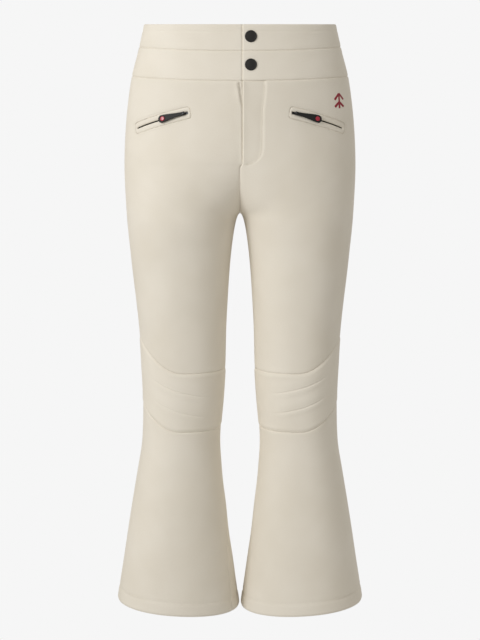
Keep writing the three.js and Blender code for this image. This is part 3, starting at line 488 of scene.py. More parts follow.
fronts = {}
for side in SIDES:
    if side == "left":
        front_limit = lambda z: np.where(
            z > -RISE, around_of_x(fly_line(z) + HALF_SEAM, z), share_of(HALF_SEAM, z))
        relief = left_front_relief
    else:
        under = lambda z: UNDER_FLY * ease((z - FLY_FOOT) / (6 * MM))
        front_limit = lambda z: np.where(
            z > -RISE, around_of_x(-fly_line(z) - under(z) + HALF_SEAM, z), share_of(HALF_SEAM, z))
        relief = right_front_relief
    side_limit = lambda z: 1 - share_of(HALF_SEAM, z)
    front = sewn_panel("front_" + side, side, (front_limit, side_limit), (waist_seam, knee_top),
                       200 * MM, 378 * MM, 1.8 * MM, relief)
    dress(front, softshell)
    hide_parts("front_panel_" + side)
    fronts[side] = front
    back = sewn_panel("back_" + side, side,
                      (lambda z: 1 + share_of(HALF_SEAM, z), lambda z: 2 - share_of(HALF_SEAM, z)),
                      (waist_seam, knee_top), 200 * MM, 378 * MM, 2.4 * MM)
    dress(back, softshell)
    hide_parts("back_panel_" + side)
    bend_at_knee(back)


# ---------------------------------------------------------------- knees
# Over each knee a softshell panel is quilted to a foam pad by two lines of stitches, so it stands out
# in three soft channels. Behind the knee a plain gusset of the same cloth goes on to the inseam.

LINE_HEIGHTS = (-472.5 * MM, -499 * MM)  # of the two quilting lines, a third of the way to the side
LINE_ENDS = (0.25, 0.82)  # where they start and end, as "around"
LOWER_ON_RIGHT = 5 * MM


def line_height(around, number, side):
    """Height of a quilting line: it rises to the side, a little more steeply as it goes."""
    rise = 30 * MM * (around - 0.37) + 75 * MM * (around - 0.37) ** 2
    return LINE_HEIGHTS[number] + rise - (LOWER_ON_RIGHT if side == "right" else 0)


def quilted_relief(side):
    """Relief of a knee panel: it stands proud of its seams, and each quilting line is a narrow groove
    with a soft swelling on both sides, fading out at its ends."""
    def relief(around, z, p, distance):
        ends = ease((around - LINE_ENDS[0]) / 0.2) * ease((LINE_ENDS[1] - around) / 0.22)
        height = 0.7 * MM * ease((distance - 0.8 * MM) / (4 * MM))
        for number in (0, 1):
            strong = ends * (0.55 if side == "right" and number else 1)
            off = z - line_height(around, number, side)
            groove = 0.75 * MM * np.exp(-(off / (0.75 * MM)) ** 2)
            upper = 0.5 * MM * np.exp(-((off - 8 * MM) / (6 * MM)) ** 2)
            under = 0.45 * MM * np.exp(-((off + 4 * MM) / (3.5 * MM)) ** 2)
            height = height + strong * (upper + under - groove)
        return height
    return relief


def gusset_relief(around, z, p, distance):
    """Three soft creases across the hollow of the knee."""
    hollow = ease((around - 1.1) / 0.3) * ease((1.95 - around) / 0.3)
    return hollow * 0.8 * MM * np.sin(2 * np.pi * (z - KNEE) / (21 * MM) + 3 * around)


foam_cell = 1.1 * MM
open_cell_foam, foam_surface = new_material("open_cell_foam", Roughness=0.95)
foam_surface.inputs["Base Color"].default_value = hex_colour("#CFC9BA")
foam_surface.inputs["Specular IOR Level"].default_value = 0.1
where = add_node(open_cell_foam, "ShaderNodeTexCoord")
cells = add_node(open_cell_foam, "ShaderNodeTexVoronoi", [("Vector", where, "Object")], Scale=1 / foam_cell)
pores = add_node(open_cell_foam, "ShaderNodeBump", [("Height", cells, "Distance")],
                 Strength=0.8, Distance=0.3 * MM)
open_cell_foam.node_tree.links.new(pores.outputs["Normal"], foam_surface.inputs["Normal"])


def thread_material(name, colour):
    """Spun polyester sewing thread: a little silky, with the ply's fine noise."""
    material, bsdf = new_material(name, Roughness=0.6, Sheen_Weight=0.3)
    where = add_node(material, "ShaderNodeTexCoord")
    ply = add_node(material, "ShaderNodeTexNoise", [("Vector", where, "Object")], Scale=1 / (0.4 * MM))
    ramp = add_node(material, "ShaderNodeValToRGB", [("Fac", ply, "Fac")])
    ramp.color_ramp.elements[0].color = [0.82 * c for c in hex_colour(colour)[:3]] + [1]
    ramp.color_ramp.elements[1].color = hex_colour(colour)
    material.node_tree.links.new(ramp.outputs["Color"], bsdf.inputs["Base Color"])
    return material


cream_thread = thread_material("cream_polyester_thread", "#EFE8DA")


def stitches(name, path, normals, pitch=3.4 * MM, radius=0.26 * MM):
    """A row of stitches along a path: each is a bar pointed at both ends, four-sided, three quarters
    of the pitch long."""
    steps = np.linalg.norm(np.diff(path, axis=0), axis=1)
    run = np.r_[0, np.cumsum(steps)]
    at = np.arange(pitch / 2, run[-1], pitch)
    place = np.stack([np.interp(at, run, path[:, k]) for k in range(3)], -1)
    ahead = np.stack([np.interp(at + 0.1 * MM, run, path[:, k]) for k in range(3)], -1)
    behind = np.stack([np.interp(at - 0.1 * MM, run, path[:, k]) for k in range(3)], -1)
    along = ahead - behind
    along /= np.linalg.norm(along, axis=1, keepdims=True)
    up = np.stack([np.interp(at, run, normals[:, k]) for k in range(3)], -1)
    across = np.cross(up, along)
    half = 0.375 * pitch
    around_bar = ((1, 0), (0, 1), (-1, 0), (0, -1))
    spots = [(-half, 0, -1)] + [(e * half * 0.6, a, u) for e in (-1, 1) for a, u in around_bar]
    spots.append((half, 0, -1))
    points = np.stack([place + e * along + radius * (a * across + u * up) for e, a, u in spots], 1)
    ring = [(1, 2), (2, 3), (3, 4), (4, 1)]
    faces = [(0, b, a) for a, b in ring] + [(9, a + 4, b + 4) for a, b in ring]
    faces += [t for a, b in ring for t in ((a, b, b + 4), (a, b + 4, a + 4))]
    every = (np.array(faces)[None] + 10 * np.arange(len(at))[:, None, None]).reshape(-1, 3)
    piece = link(name, mesh_of(name, points.reshape(-1, 3), every))
    return dress(piece, cream_thread)


def on_surface(around, z, side, out=0.0):
    """Points of a path on the cloth, and the outward directions there, of the left or right half."""
    p = surface(around, z)
    normal = outward(p)
    p = p + out * normal
    if side == "right":
        p, normal = p * [-1, 1, 1], normal * [-1, 1, 1]
    return p, normal


full_width = (lambda z: share_of(HALF_SEAM, z), lambda z: 1 - share_of(HALF_SEAM, z))
full_back = (lambda z: 1 + share_of(HALF_SEAM, z), lambda z: 2 - share_of(HALF_SEAM, z))
for side in SIDES:
    panel = sewn_panel("knee_panel_" + side, side, full_width, (knee_top, knee_bottom), 165 * MM, 85 * MM,
                       0.9 * MM, quilted_relief(side))
    dress(panel, softshell)
    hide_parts("knee_panel_" + side)
    bend_at_knee(panel)
    gusset = sewn_panel("knee_gusset_" + side, side, full_back, (knee_top, knee_bottom), 165 * MM, 110 * MM,
                        2.2 * MM, gusset_relief)
    dress(gusset, softshell)
    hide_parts("knee_gusset_" + side)
    bend_at_knee(gusset)
    inset = 5 * MM
    pad_ends = (lambda a: knee_top(a) - inset, lambda a: knee_bottom(a) + inset)
    around, z, share = grid_positions(lambda z: 0 * z + 1 / 9, lambda z: 0 * z + 8 / 9, *pad_ends,
                                      130 * MM, 75 * MM, 3 * MM)
    p = surface(around, z)
    normal = outward(p)
    along, down = ground_lengths(p)
    rim = np.min([along, along[-1:] - along, down, down[:, -1:] - down], 0)
    round_edge = 1.6 * MM * (1 - np.sqrt(1 - (1 - np.clip(rim / (3 * MM), 0, 1)) ** 2))
    swell = 0.5 * quilted_relief(side)(around, z, p, rim)
    outer = p + normal * (swell - 2.0 * MM - round_edge)[..., None]
    inner = p - normal * (5.4 * MM - round_edge)[..., None]
    pad = closed_sheet("knee_foam_pad_" + side, outer, inner, np.stack([along, -down], -1), side == "right")
    dress(pad, open_cell_foam)
    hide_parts("knee_foam_" + side)
    bend_at_knee(pad)
    for number in (0, 1):
        a = np.linspace(LINE_ENDS[0] + 0.05, LINE_ENDS[1] - 0.05, 90)
        path, normals = on_surface(a, line_height(a, number, side), side, -0.1 * MM)
        row = stitches("knee_quilting_%s_%d" % (side, number + 1), path, normals,
                       pitch=2.8 * MM, radius=0.18 * MM)
        bend_at_knee(row)


# ---------------------------------------------------------------- lower legs and hems
# Shin and calf panels of softshell flare out to the hem, which is turned in 24 mm and sewn round
# 17 mm above the edge. The right leg hangs a little turned, so its inseam comes to the front.

HEM = -RISE - INSEAM
HEM_CENTRE = (164.5 + 1.9) / 2 * MM
HEM_SLOPE = math.tan(math.radians(3.4))
HEM_STITCH = 17 * MM
HEM_TURN_UP = 24 * MM
INSEAM_TURN = 28 / 180  # half circles that the right leg has turned at the hem
LINING = 0.8 * MM


def turned(around, z, side):
    """Place round the right lower leg after its turn, which grows downwards from below the knee and
    is most at the inseam."""
    if side == "left":
        return around
    start = -KNEE - 70 * MM
    return around + INSEAM_TURN * ease((start - z) / (start - HEM)) * np.abs(1 - around)


def hem_edge(side, above=0.0):
    """The hem's edge: 3.4 degrees higher towards the outer side, found in six passes."""
    def height(around):
        z = HEM + 0 * np.asarray(around, float)
        for _ in range(6):
            x = surface(turned(around, z, side), z)[..., 0]
            z = HEM + (x - HEM_CENTRE) * HEM_SLOPE
        return z + above
    return height


def lower_panel(name, side, limits, ends, tall, relief=None, layer=0, thick=CLOTH, step=2.3 * MM,
                wide=240 * MM, open_edges=("bottom",)):
    """A sewn panel of the lower leg, with the leg's turn."""
    around, z, share = grid_positions(*limits, *ends, wide, tall, step)
    p = surface(turned(around, z, side), z)
    normal = outward(p)
    distance = seam_distances(p, open_edges)
    along, down = ground_lengths(p)
    to_edge = down[:, -1:] - down
    height = unevenness(p) * ease(distance / (12 * MM)) + seam_relief(distance)
    if relief is not None:
        height = height + relief(around, z, p, to_edge)
    outer = p + normal * (height - layer)[..., None]
    inner = p + normal * (height - layer - thick)[..., None]
    uv = np.stack([along - along[len(along) // 2], -down], -1)
    return closed_sheet(name, outer, inner, uv, mirror=side == "right")


def hem_relief(around, z, p, to_edge):
    """The hem's edge is rounded over, and the stitching draws a groove with a faint ripple below."""
    edge = -0.6 * MM * (1 - ease(to_edge / (2.2 * MM)))
    groove = -0.7 * MM * np.exp(-((to_edge - HEM_STITCH) / (1.2 * MM)) ** 2)
    swell = 0.45 * MM * ease((HEM_STITCH - to_edge) / (4 * MM)) * ease(to_edge / (3 * MM))
    ripple = 0.1 * MM * np.sin(2 * np.pi * around * 34) * np.exp(-((to_edge - HEM_STITCH) / (5 * MM)) ** 2)
    return edge + groove + swell + ripple


ivory_lining = woven_cloth("ivory_polyester_taffeta", "#DDD8CC", "#D2CCBE", 0.9 * MM, 0.62, 0.1, 0.05 * MM)

for side in SIDES:
    edge = hem_edge(side)
    shin = lower_panel("shin_panel_" + side, side, full_width, (knee_bottom, edge), 250 * MM, hem_relief)
    dress(shin, softshell)
    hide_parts("shin_panel_" + side)
    bend_at_knee(shin)
    calf = lower_panel("calf_panel_" + side, side, full_back, (knee_bottom, edge), 250 * MM, hem_relief)
    dress(calf, softshell)
    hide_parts("calf_panel_" + side)
    bend_at_knee(calf)
    whole = (lambda z: share_of(HALF_SEAM, z), lambda z: 2 - share_of(HALF_SEAM, z))
    turn_up = lower_panel("hem_turn_up_" + side, side, whole, (hem_edge(side, HEM_TURN_UP), edge),
                          HEM_TURN_UP, hem_relief,
                          layer=CLOTH + 0.15 * MM, thick=LINING, step=2.2 * MM, wide=480 * MM)
    dress(turn_up, softshell)
    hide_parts("hem_turn_up_" + side)
    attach(turn_up, "lower_leg_" + side)
    a = np.linspace(0.012, 1.988, 400)
    z = hem_edge(side, HEM_STITCH)(a)
    path, normals = on_surface(turned(a, z, side), z, side, -0.45 * MM)
    row = stitches("hem_stitches_" + side, path, normals)
    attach(row, "lower_leg_" + side)


# ---------------------------------------------------------------- snow gaiters
# Inside each leg a taffeta sleeve is sewn in above the hem and narrows to a gathered elastic cuff,
# which grips the boot's shaft.

GAITER_TOP, GAITER_BOTTOM = -622 * MM, -738 * MM
CUFF_HALF_WIDTH, CUFF_HALF_DEPTH = 58 * MM, 60 * MM
CUFF_CENTRE = float(section(GAITER_BOTTOM)[0])
GATHERS = 46
for side in SIDES:
    line = np.linspace(0.002, 1.998, 6 * GATHERS + 1)[:, None]
    t = np.linspace(0, 1, 61)[None, :]
    z = GAITER_TOP + t * (GAITER_BOTTOM - GAITER_TOP) + 0 * line
    loose = surface(turned(line + 0 * t, z, side), z)
    loose = loose - outward(loose) * (CLOTH + 0.9 * MM)
    angle = np.pi * (line - 1)
    gather = 1.3 * MM * np.sin(GATHERS * 2 * angle) * ease((t - 0.35) / 0.5)
    belt = 1.0 * MM * ease((t - 0.84) / 0.03)  # the elastic inside the cuff's tunnel
    radius = gather + belt
    cuff = np.stack([CUFF_CENTRE + (CUFF_HALF_WIDTH + radius) * np.cos(angle),
                     (CUFF_HALF_DEPTH + radius) * np.sin(angle), z], -1)
    outer = loose + ease(t)[..., None] * (cuff - loose)
    away = outer - np.stack([0 * z + CUFF_CENTRE, 0 * z, z], -1)
    inner = outer - LINING * away / np.linalg.norm(away, axis=-1, keepdims=True)
    along, down = ground_lengths(outer)
    sleeve = closed_sheet("snow_gaiter_" + side, outer, inner, np.stack([along, -down], -1), side == "right")
    dress(sleeve, ivory_lining)
    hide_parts("snow_gaiter_" + side)
    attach(sleeve, "lower_leg_" + side)


# ---------------------------------------------------------------- waistband
# Two tiers of softshell, each cut in a front left, a front right and a back piece. A facing of taffeta
# lines them, and the back is drawn in by a band of elastic.

BAND_EDGES = {
    "upper": (lambda a: 0 * np.asarray(a, float), band_seam(UPPER_SEAM)),
    "lower": (band_seam(UPPER_SEAM), waist_seam),
}
TAB_END = FLY_EDGE + 27.5 * MM
TAB_THICKNESS = 2.8 * MM


def band_relief(tier, down, up, side_run):
    """Height over a tier: seam grooves along its sewn edges, a rounded top edge with the elastic's
    stitch line 9 mm below it, and short soft puckers near the seams."""
    height = seam_relief(up)
    if tier == "upper":
        height = height - 0.7 * MM * (1 - ease(down / (1.8 * MM)))
        height -= 0.28 * MM * np.exp(-((down - 9 * MM) / (1.2 * MM)) ** 2)
    else:
        height = height + seam_relief(down)
    pucker = np.exp(-((up - 6 * MM) / (6 * MM)) ** 2)
    return height + 0.16 * MM * pucker * np.sin(side_run / (6.3 * MM)) * np.sin(side_run / (17 * MM) + 1)


def band_grid(tier, u_from, u_to, wide, step=1.8 * MM):
    """Points, normals and places of a tier between two 'around' limits."""
    top, bottom = BAND_EDGES[tier]
    around, z, share = grid_positions(u_from, u_to, top, bottom, wide, 34 * MM, step)
    p = surface(around, z)
    return p, outward(p), around, z


for tier in ("upper", "lower"):
    for side in SIDES:
        if side == "left":
            start = lambda z: around_of_x(FLY_EDGE + HALF_SEAM, z)
        else:
            start = lambda z: around_of_x(-FLY_EDGE - 2.5 * MM, z)
        p, normal, around, z = band_grid(tier, start, lambda z: 1 - share_of(HALF_SEAM, z), 160 * MM)
        along, down = ground_lengths(p)
        up = down[:, -1:] - down
        height = band_relief(tier, down, up, along) + seam_relief(along[-1:] - along)
        if side == "left":
            loose_end = 1 - ease((p[..., 0] - TAB_END + 7 * MM) / (9 * MM))
            height += 0.25 * MM * loose_end - 0.5 * MM * np.exp(-(along / (0.7 * MM)) ** 2)
            thick = CLOTH + (TAB_THICKNESS - CLOTH) * loose_end
        else:
            height -= 1.0 * MM * ease((-p[..., 0] - 1.5 * MM) / (1.5 * MM))
            thick = CLOTH + 0 * height
        outer = p + normal * height[..., None]
        inner = p + normal * (height - thick)[..., None]
        uv = np.stack([along, -down], -1)
        front_band = closed_sheet("%s_waistband_front_%s" % (tier, side), outer, inner, uv, side == "right")
        dress(front_band, softshell)
        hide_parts("%s_waistband_front_%s" % (tier, side))
        if side == "left":
            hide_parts(tier + "_waistband_tab")
            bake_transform(front_band)
        else:
            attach(front_band, "seat")


def both_halves(values, mirrored=None):
    """The left half's grid with the right half's joined on past the centre back."""
    other = values[::-1] if mirrored is None else values[::-1] * mirrored
    return np.concatenate([values, other[1:]])


def back_band(name, u_from, top, bottom, height_of, depth, thick, wide, tall, step):
    """A sheet round the back from the left side to the right, with its relief."""
    around, z, share = grid_positions(u_from, lambda z: 2 + 0 * z, top, bottom, wide, tall, step)
    p = surface(around, z)
    normal = outward(p)
    normal[-1, :, 0] = 0
    p = both_halves(p, [-1, 1, 1])
    normal = both_halves(normal, [-1, 1, 1])
    along, down = ground_lengths(p)
    height = height_of(down, down[:, -1:] - down, along, np.minimum(along, along[-1:] - along))
    outer = p + normal * (height - depth)[..., None]
    inner = p + normal * (height - depth - thick)[..., None]
    return closed_sheet(name, outer, inner, np.stack([along, -down], -1))


for tier in ("upper", "lower"):
    def height_of(down, up, along, to_side):
        shirr = 0.45 * MM * np.sin(2 * np.pi * along / (7.5 * MM)) * ease((to_side - 20 * MM) / (40 * MM))
        soft = shirr * np.exp(-((down - 17 * MM) / (13 * MM)) ** 2) if tier == "upper" else 0
        return band_relief(tier, down, up, along) + seam_relief(to_side) + soft
    back = back_band(tier + "_waistband_back", lambda z: 1 + share_of(HALF_SEAM, z), *BAND_EDGES[tier],
                     height_of, 0, CLOTH, 200 * MM, 34 * MM, 1.9 * MM)
    dress(back, softshell)
    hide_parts(tier + "_waistband_back")
    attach(back, "seat")

ELASTIC_DEPTH = CLOTH + 0.4 * MM
ELASTIC_THICKNESS = 1.1 * MM
elastic_rubber = woven_cloth("knitted_elastic", "#E9E6DF", "#CFCBC0", 1.6 * MM, 0.8, 0.1, 0.3 * MM)
elastic = back_band("waist_elastic", lambda z: 10 / 9 + 0 * z,
                    lambda a: -5 * MM + 0 * a, lambda a: -29 * MM + 0 * a,
                    lambda down, up, along, to_side: 0.12 * MM * np.sin(2 * np.pi * down / (4 * MM)),
                    ELASTIC_DEPTH, ELASTIC_THICKNESS, 170 * MM, 24 * MM, 1.6 * MM)
dress(elastic, elastic_rubber)
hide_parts("waist_elastic")
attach(elastic, "seat")

FACING_DEPTH = ELASTIC_DEPTH + ELASTIC_THICKNESS + 0.4 * MM
facing = back_band("waistband_facing", lambda z: 0.34 + 0 * z, lambda a: -2 * MM + 0 * a,
                   lambda a: waist_seam(a) + 2 * MM,
                   lambda down, up, along, to_side: -0.25 * MM * np.exp(-((down - 31 * MM) / MM) ** 2),
                   FACING_DEPTH, LINING, 330 * MM, 68 * MM, 2.4 * MM)
dress(facing, ivory_lining)
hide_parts("waistband_facing")
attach(facing, "seat")


# ---------------------------------------------------------------- underlap and snaps
# Behind the loose end of the waistband lies an underlap of two layers of softshell. Two press studs
# hold them together: enamelled caps and their sockets on the loose end, studs on the underlap.

SNAP_X = 13.6 * MM
SNAP_DROPS = {"upper": 15 * MM, "lower": 50 * MM}
CAP_RADIUS = 7.6 * MM
SOCKET_FROM = TAB_THICKNESS + 0.5 * MM
SOCKET_TO = SOCKET_FROM + 2 * MM
STUD_BASE = SOCKET_TO + 0.3 * MM
UNDERLAP_FROM = STUD_BASE + 0.8 * MM
UNDERLAP_TO = UNDERLAP_FROM + 2 * MM


def solid(name, rings, closed=False, sharp=40):
    """A body from rings of points: each joined to the next, and either the last to the first, or both
    ends closed. Faces are turned outwards by the sign of the volume."""
    n, m = rings.shape[:2]
    ids = np.arange(n * m).reshape(n, m)
    if closed:
        ids = np.vstack([ids, ids[:1]])
    right = np.roll(ids, -1, axis=1)
    quads = np.stack([ids[:-1], ids[1:], right[1:], right[:-1]], -1).reshape(-1, 4)
    points = rings.reshape(-1, 3)
    a, b, c, d = (points[quads[:, k]] - points.mean(0) for k in range(4))
    volume = np.sum(a * np.cross(b, c)) + np.sum(a * np.cross(c, d))
    faces = quads.tolist() + ([] if closed else [ids[0].tolist(), ids[-1, ::-1].tolist()])
    if volume < 0:
        faces = [face[::-1] for face in faces]
    mesh = bpy.data.meshes.new(name)
    mesh.from_pydata(points.tolist(), [], faces)
    mesh.polygons.foreach_set("use_smooth", np.ones(len(faces), bool))
    mesh.set_sharp_from_angle(angle=math.radians(sharp))
    return link(name, mesh)


def snap_axes(drop):
    """A snap's centre on the cloth, and three unit directions there: across, up and out."""
    z = np.array(-drop)
    centre = surface(around_of_x(SNAP_X, z), z)
    out = outward(centre)
    across = np.cross([0, 0, 1], out)
    across /= np.linalg.norm(across)
    return centre, across, np.cross(out, across), out


def spun(name, profile, drop, count=56, sharp=40):
    """A turned body: (radius, height over the cloth) pairs in mm, carried round the snap's axis."""
    centre, across, up, out = snap_axes(drop)
    radius, height = (np.array(profile)[:, k] * MM for k in (0, 1))
    angle = np.linspace(0, 2 * np.pi, count, endpoint=False)
    ring = np.cos(angle)[:, None] * across + np.sin(angle)[:, None] * up
    closed = profile[0] == profile[-1]
    rows = slice(0, -1) if closed else slice(None)
    rings = centre + radius[rows, None, None] * ring + (height[rows, None] * out)[:, None, :]
    return solid(name, rings, closed, sharp)


def plain_metal(name, colour, roughness, grain, bump, **more):
    """A metal whose roughness varies a little in patches, with a fine grain in its surface."""
    material, bsdf = new_material(name, Metallic=1.0, **more)
    bsdf.inputs["Base Color"].default_value = hex_colour(colour)
    where = add_node(material, "ShaderNodeTexCoord")
    at = ("Vector", where, "Object")
    patches = add_node(material, "ShaderNodeTexNoise", [at], Scale=1 / (3 * MM), Detail=3.0)
    spread = add_node(material, "ShaderNodeMapRange", [("Value", patches, "Fac")])
    spread.inputs["To Min"].default_value = roughness - 0.08
    spread.inputs["To Max"].default_value = roughness + 0.1
    fine = add_node(material, "ShaderNodeTexNoise", [at], Scale=1 / grain, Detail=2.0)
    dents = add_node(material, "ShaderNodeBump", [("Height", fine, "Fac")], Strength=0.4, Distance=bump)
    material.node_tree.links.new(spread.outputs["Result"], bsdf.inputs["Roughness"])
    material.node_tree.links.new(dents.outputs["Normal"], bsdf.inputs["Normal"])
    return material


def moulded(name, colour, dark, roughness, grain, bump, **more):
    """Plastic, rubber or lacquer: two near tones in slow patches, and a fine moulded grain."""
    material, bsdf = new_material(name, Roughness=roughness, **more)
    where = add_node(material, "ShaderNodeTexCoord")
    at = ("Vector", where, "Object")
    patches = add_node(material, "ShaderNodeTexNoise", [at], Scale=1 / (5 * MM), Detail=3.0)
    ramp = add_node(material, "ShaderNodeValToRGB", [("Fac", patches, "Fac")])
    ramp.color_ramp.elements[0].color = hex_colour(dark)
    ramp.color_ramp.elements[1].color = hex_colour(colour)
    fine = add_node(material, "ShaderNodeTexNoise", [at], Scale=1 / grain, Detail=2.0)
    dents = add_node(material, "ShaderNodeBump", [("Height", fine, "Fac")], Strength=0.5, Distance=bump)
    material.node_tree.links.new(ramp.outputs["Color"], bsdf.inputs["Base Color"])
    material.node_tree.links.new(dents.outputs["Normal"], bsdf.inputs["Normal"])
    return material


black_enamel = moulded("black_baked_enamel", "#0E0B07", "#0A0805", 0.5, 0.5 * MM, 0.02 * MM,
                       Coat_Weight=0.12, Coat_Roughness=0.35)
burnished_steel = plain_metal("burnished_steel", "#5A5A5C", 0.32, 0.3 * MM, 0.02 * MM)

under_x = np.linspace(-15 * MM, TAB_END - MM, 40)[:, None]
under_z = np.linspace(-1.5 * MM, -68.5 * MM, 50)[None, :]
p = surface(around_of_x(under_x + 0 * under_z, under_z + 0 * under_x), under_z + 0 * under_x)
normal = outward(p)
along, down = ground_lengths(p)
rim = np.min([along, along[-1:] - along, down, down[:, -1:] - down], 0)
hem_line = 0.3 * MM * np.exp(-((rim - 3 * MM) / (0.9 * MM)) ** 2)
edge = 0.8 * MM * (1 - ease(rim / (1.6 * MM)))
underlap = closed_sheet("waistband_underlap", p - normal * (UNDERLAP_FROM + hem_line + edge)[..., None],
                        p - normal * (UNDERLAP_TO - hem_line - edge)[..., None], np.stack([along, -down], -1))
dress(underlap, softshell)
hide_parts("waistband_underlap")
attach(underlap, "seat")

r = CAP_RADIUS / MM
cap_from = -1.2  # the cloth is pressed in under the cap
CAP_PROFILE = [
    (0.02, cap_from), (r - 0.9, cap_from), (r - 0.2, cap_from + 0.25),
    (r, cap_from + 0.8), (r, cap_from + 1.6),
    (r - 0.12, 1.15), (r - 0.4, 1.62), (r - 0.85, 1.95), (r - 1.3, 2.02), (r - 1.65, 1.94), (r - 1.9, 1.86),
    (r - 2.3, 1.9), (4.4, 2.0), (3.2, 2.1), (2.0, 2.17), (1.0, 2.2), (0.02, 2.21),
]
depth = [value / MM for value in (SOCKET_FROM, SOCKET_TO, STUD_BASE, UNDERLAP_TO)]
SOCKET_PROFILE = [
    (1.9, -depth[0]), (1.9, -depth[0] - 0.5), (2.9, -depth[0] - 0.6), (2.75, -depth[0] - 1.2),
    (2.9, -depth[1] + 0.1), (3.4, -depth[1]), (4.4, -depth[1]), (5.1, -depth[1] + 0.3),
    (5.4, -depth[1] + 0.8), (5.4, -depth[0] - 0.1),
    (5.2, -depth[0]), (1.9, -depth[0]),
]
STUD_PROFILE = [
    (0.02, -depth[2] + 1.2), (1.5, -depth[2] + 1.2), (2.1, -depth[2] + 1.0), (2.3, -depth[2] + 0.6),
    (2.05, -depth[2] + 0.15), (2.2, -depth[2]), (4.4, -depth[2] - 0.05), (4.6, -depth[2] - 0.25),
    (4.5, -depth[2] - 0.5), (1.4, -depth[2] - 0.5), (1.4, -depth[3] - 0.8), (0.02, -depth[3] - 0.9),
]
BACK_PROFILE = [
    (1.9, -depth[3] - 0.3), (4.9, -depth[3] - 0.3), (5.0, -depth[3] - 0.6), (4.8, -depth[3] - 1.0),
    (4.4, -depth[3] - 1.2), (2.4, -depth[3] - 1.2), (1.9, -depth[3] - 1.0), (1.9, -depth[3] - 0.3),
]
for tier, drop in SNAP_DROPS.items():
    cap = spun("snap_cap_" + tier, CAP_PROFILE, drop, 64)
    dress(cap, black_enamel)
    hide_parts("snap_cap_" + tier)
    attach(cap, "waist_tab")
    for part, profile, body in (("socket", SOCKET_PROFILE, "waist_tab"), ("stud", STUD_PROFILE, "seat"),
                                ("stud_back", BACK_PROFILE, "seat")):
        piece = spun("snap_%s_%s" % (part, tier), profile, drop, 40)
        dress(piece, burnished_steel)
        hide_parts("snap_%s_%s" % (part, tier))
        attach(piece, body)


# ---------------------------------------------------------------- fly
# The left front's folded edge covers a cream coil zip. A facing backs the curved stitching, and a
# shield of softshell keeps the zip off the body. The slider and its pull are gunmetal-plated zinc.

FACING_FROM_EDGE = 4 * MM
facing_drop = np.linspace(71 * MM, FLY_FOOT * -1 - 2.5 * MM, 90)[None, :]
foot = np.clip((facing_drop + FLY_FOOT + 26 * MM) / (26 * MM), 0, 1)
width = np.maximum(3 * MM, (TOPSTITCH_FROM_EDGE - FACING_FROM_EDGE) * np.sqrt(1 - foot ** 2))
facing_x = FLY_EDGE + FACING_FROM_EDGE + np.linspace(0, 1, 24)[:, None] * width
p = surface(around_of_x(facing_x, -facing_drop + 0 * facing_x), -facing_drop + 0 * facing_x)
normal = outward(p)
along, down = ground_lengths(p)
fly_facing = closed_sheet("fly_facing", p - normal * 2.3 * MM, p - normal * 3.1 * MM,
                          np.stack([along, -down], -1))
dress(fly_facing, softshell)
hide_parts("fly_facing")
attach(fly_facing, "seat")

z = np.linspace(-74 * MM, FLY_FOOT + 1.2 * MM, 260)
x = j_line(z)
path, normals = on_surface(around_of_x(x, z), z, "left", -0.25 * MM)
foot_x = np.linspace(x[-1], FLY_EDGE + 1.5 * MM, 12)[1:]
foot_z = z[-1] + 0 * foot_x
foot_path, foot_normals = on_surface(around_of_x(foot_x, foot_z), foot_z, "left", -0.25 * MM)
fly_stitches = stitches("fly_stitches", np.r_[path, foot_path], np.r_[normals, foot_normals], pitch=2.9 * MM)
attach(fly_stitches, "seat")

ZIP_TOP = np.array([14, -66.99, -73]) * MM
DOWN = np.array([0, -0.0211, -0.9998])
BACK = np.array([0, 0.9998, -0.0211])
ZIP_LENGTH, COIL_TOP, COIL_BOTTOM = 101 * MM, 5 * MM, 97 * MM
COIL_HALF, COIL_THICKNESS = 1.4 * MM, 1.3 * MM
TAPE_THICKNESS = 0.6 * MM

cream_tape = woven_cloth("cream_herringbone_tape", "#E7E0D0", "#D2CAB8", 1.0 * MM, 0.75, 0.2, 0.15 * MM)
cream_nylon = moulded("cream_nylon_coil", "#E9E2D2", "#DED6C4", 0.35, 0.4 * MM, 0.01 * MM)
gunmetal = plain_metal("gunmetal_plated_zinc", "#4A4A4C", 0.3, 0.25 * MM, 0.015 * MM)


def in_fly(x, back, run):
    """Point of the fly's own frame: across, back from the tapes' middle, and down from their top."""
    x, back, run = np.broadcast_arrays(x, back, run)
    return ZIP_TOP + x[..., None] * [1, 0, 0] + back[..., None] * BACK + run[..., None] * DOWN


def coil(name, place, runs, material):
    """A zip's coil: a row of flattened loops, one each 1.25 mm, 3 points to a quarter. place gives
    a point for (run, across, out)."""
    turns = int((runs[1] - runs[0]) / (1.25 * MM))
    angle = np.linspace(0, 2 * np.pi * turns, 12 * turns + 1)
    radius_out = COIL_THICKNESS / 2 - 0.27 * MM
    run = np.linspace(runs[0] + 0.3 * MM, runs[1] - 0.3 * MM, len(angle))
    line = place(run, (COIL_HALF - 0.27 * MM) * np.cos(angle), radius_out * np.sin(angle))
    ahead = np.gradient(line, axis=0)
    ahead /= np.linalg.norm(ahead, axis=1, keepdims=True)
    middle = place(run, 0 * run, 0 * run)
    off = line - middle
    side = np.cross(ahead, off)
    side /= np.linalg.norm(side, axis=1, keepdims=True)
    up = np.cross(side, ahead)
    turn = np.linspace(0, 2 * np.pi, 6, endpoint=False)
    ring = np.cos(turn)[None, :, None] * side[:, None] + np.sin(turn)[None, :, None] * up[:, None]
    piece = solid(name, line[:, None] + 0.26 * MM * ring, sharp=60)
    return dress(piece, material)


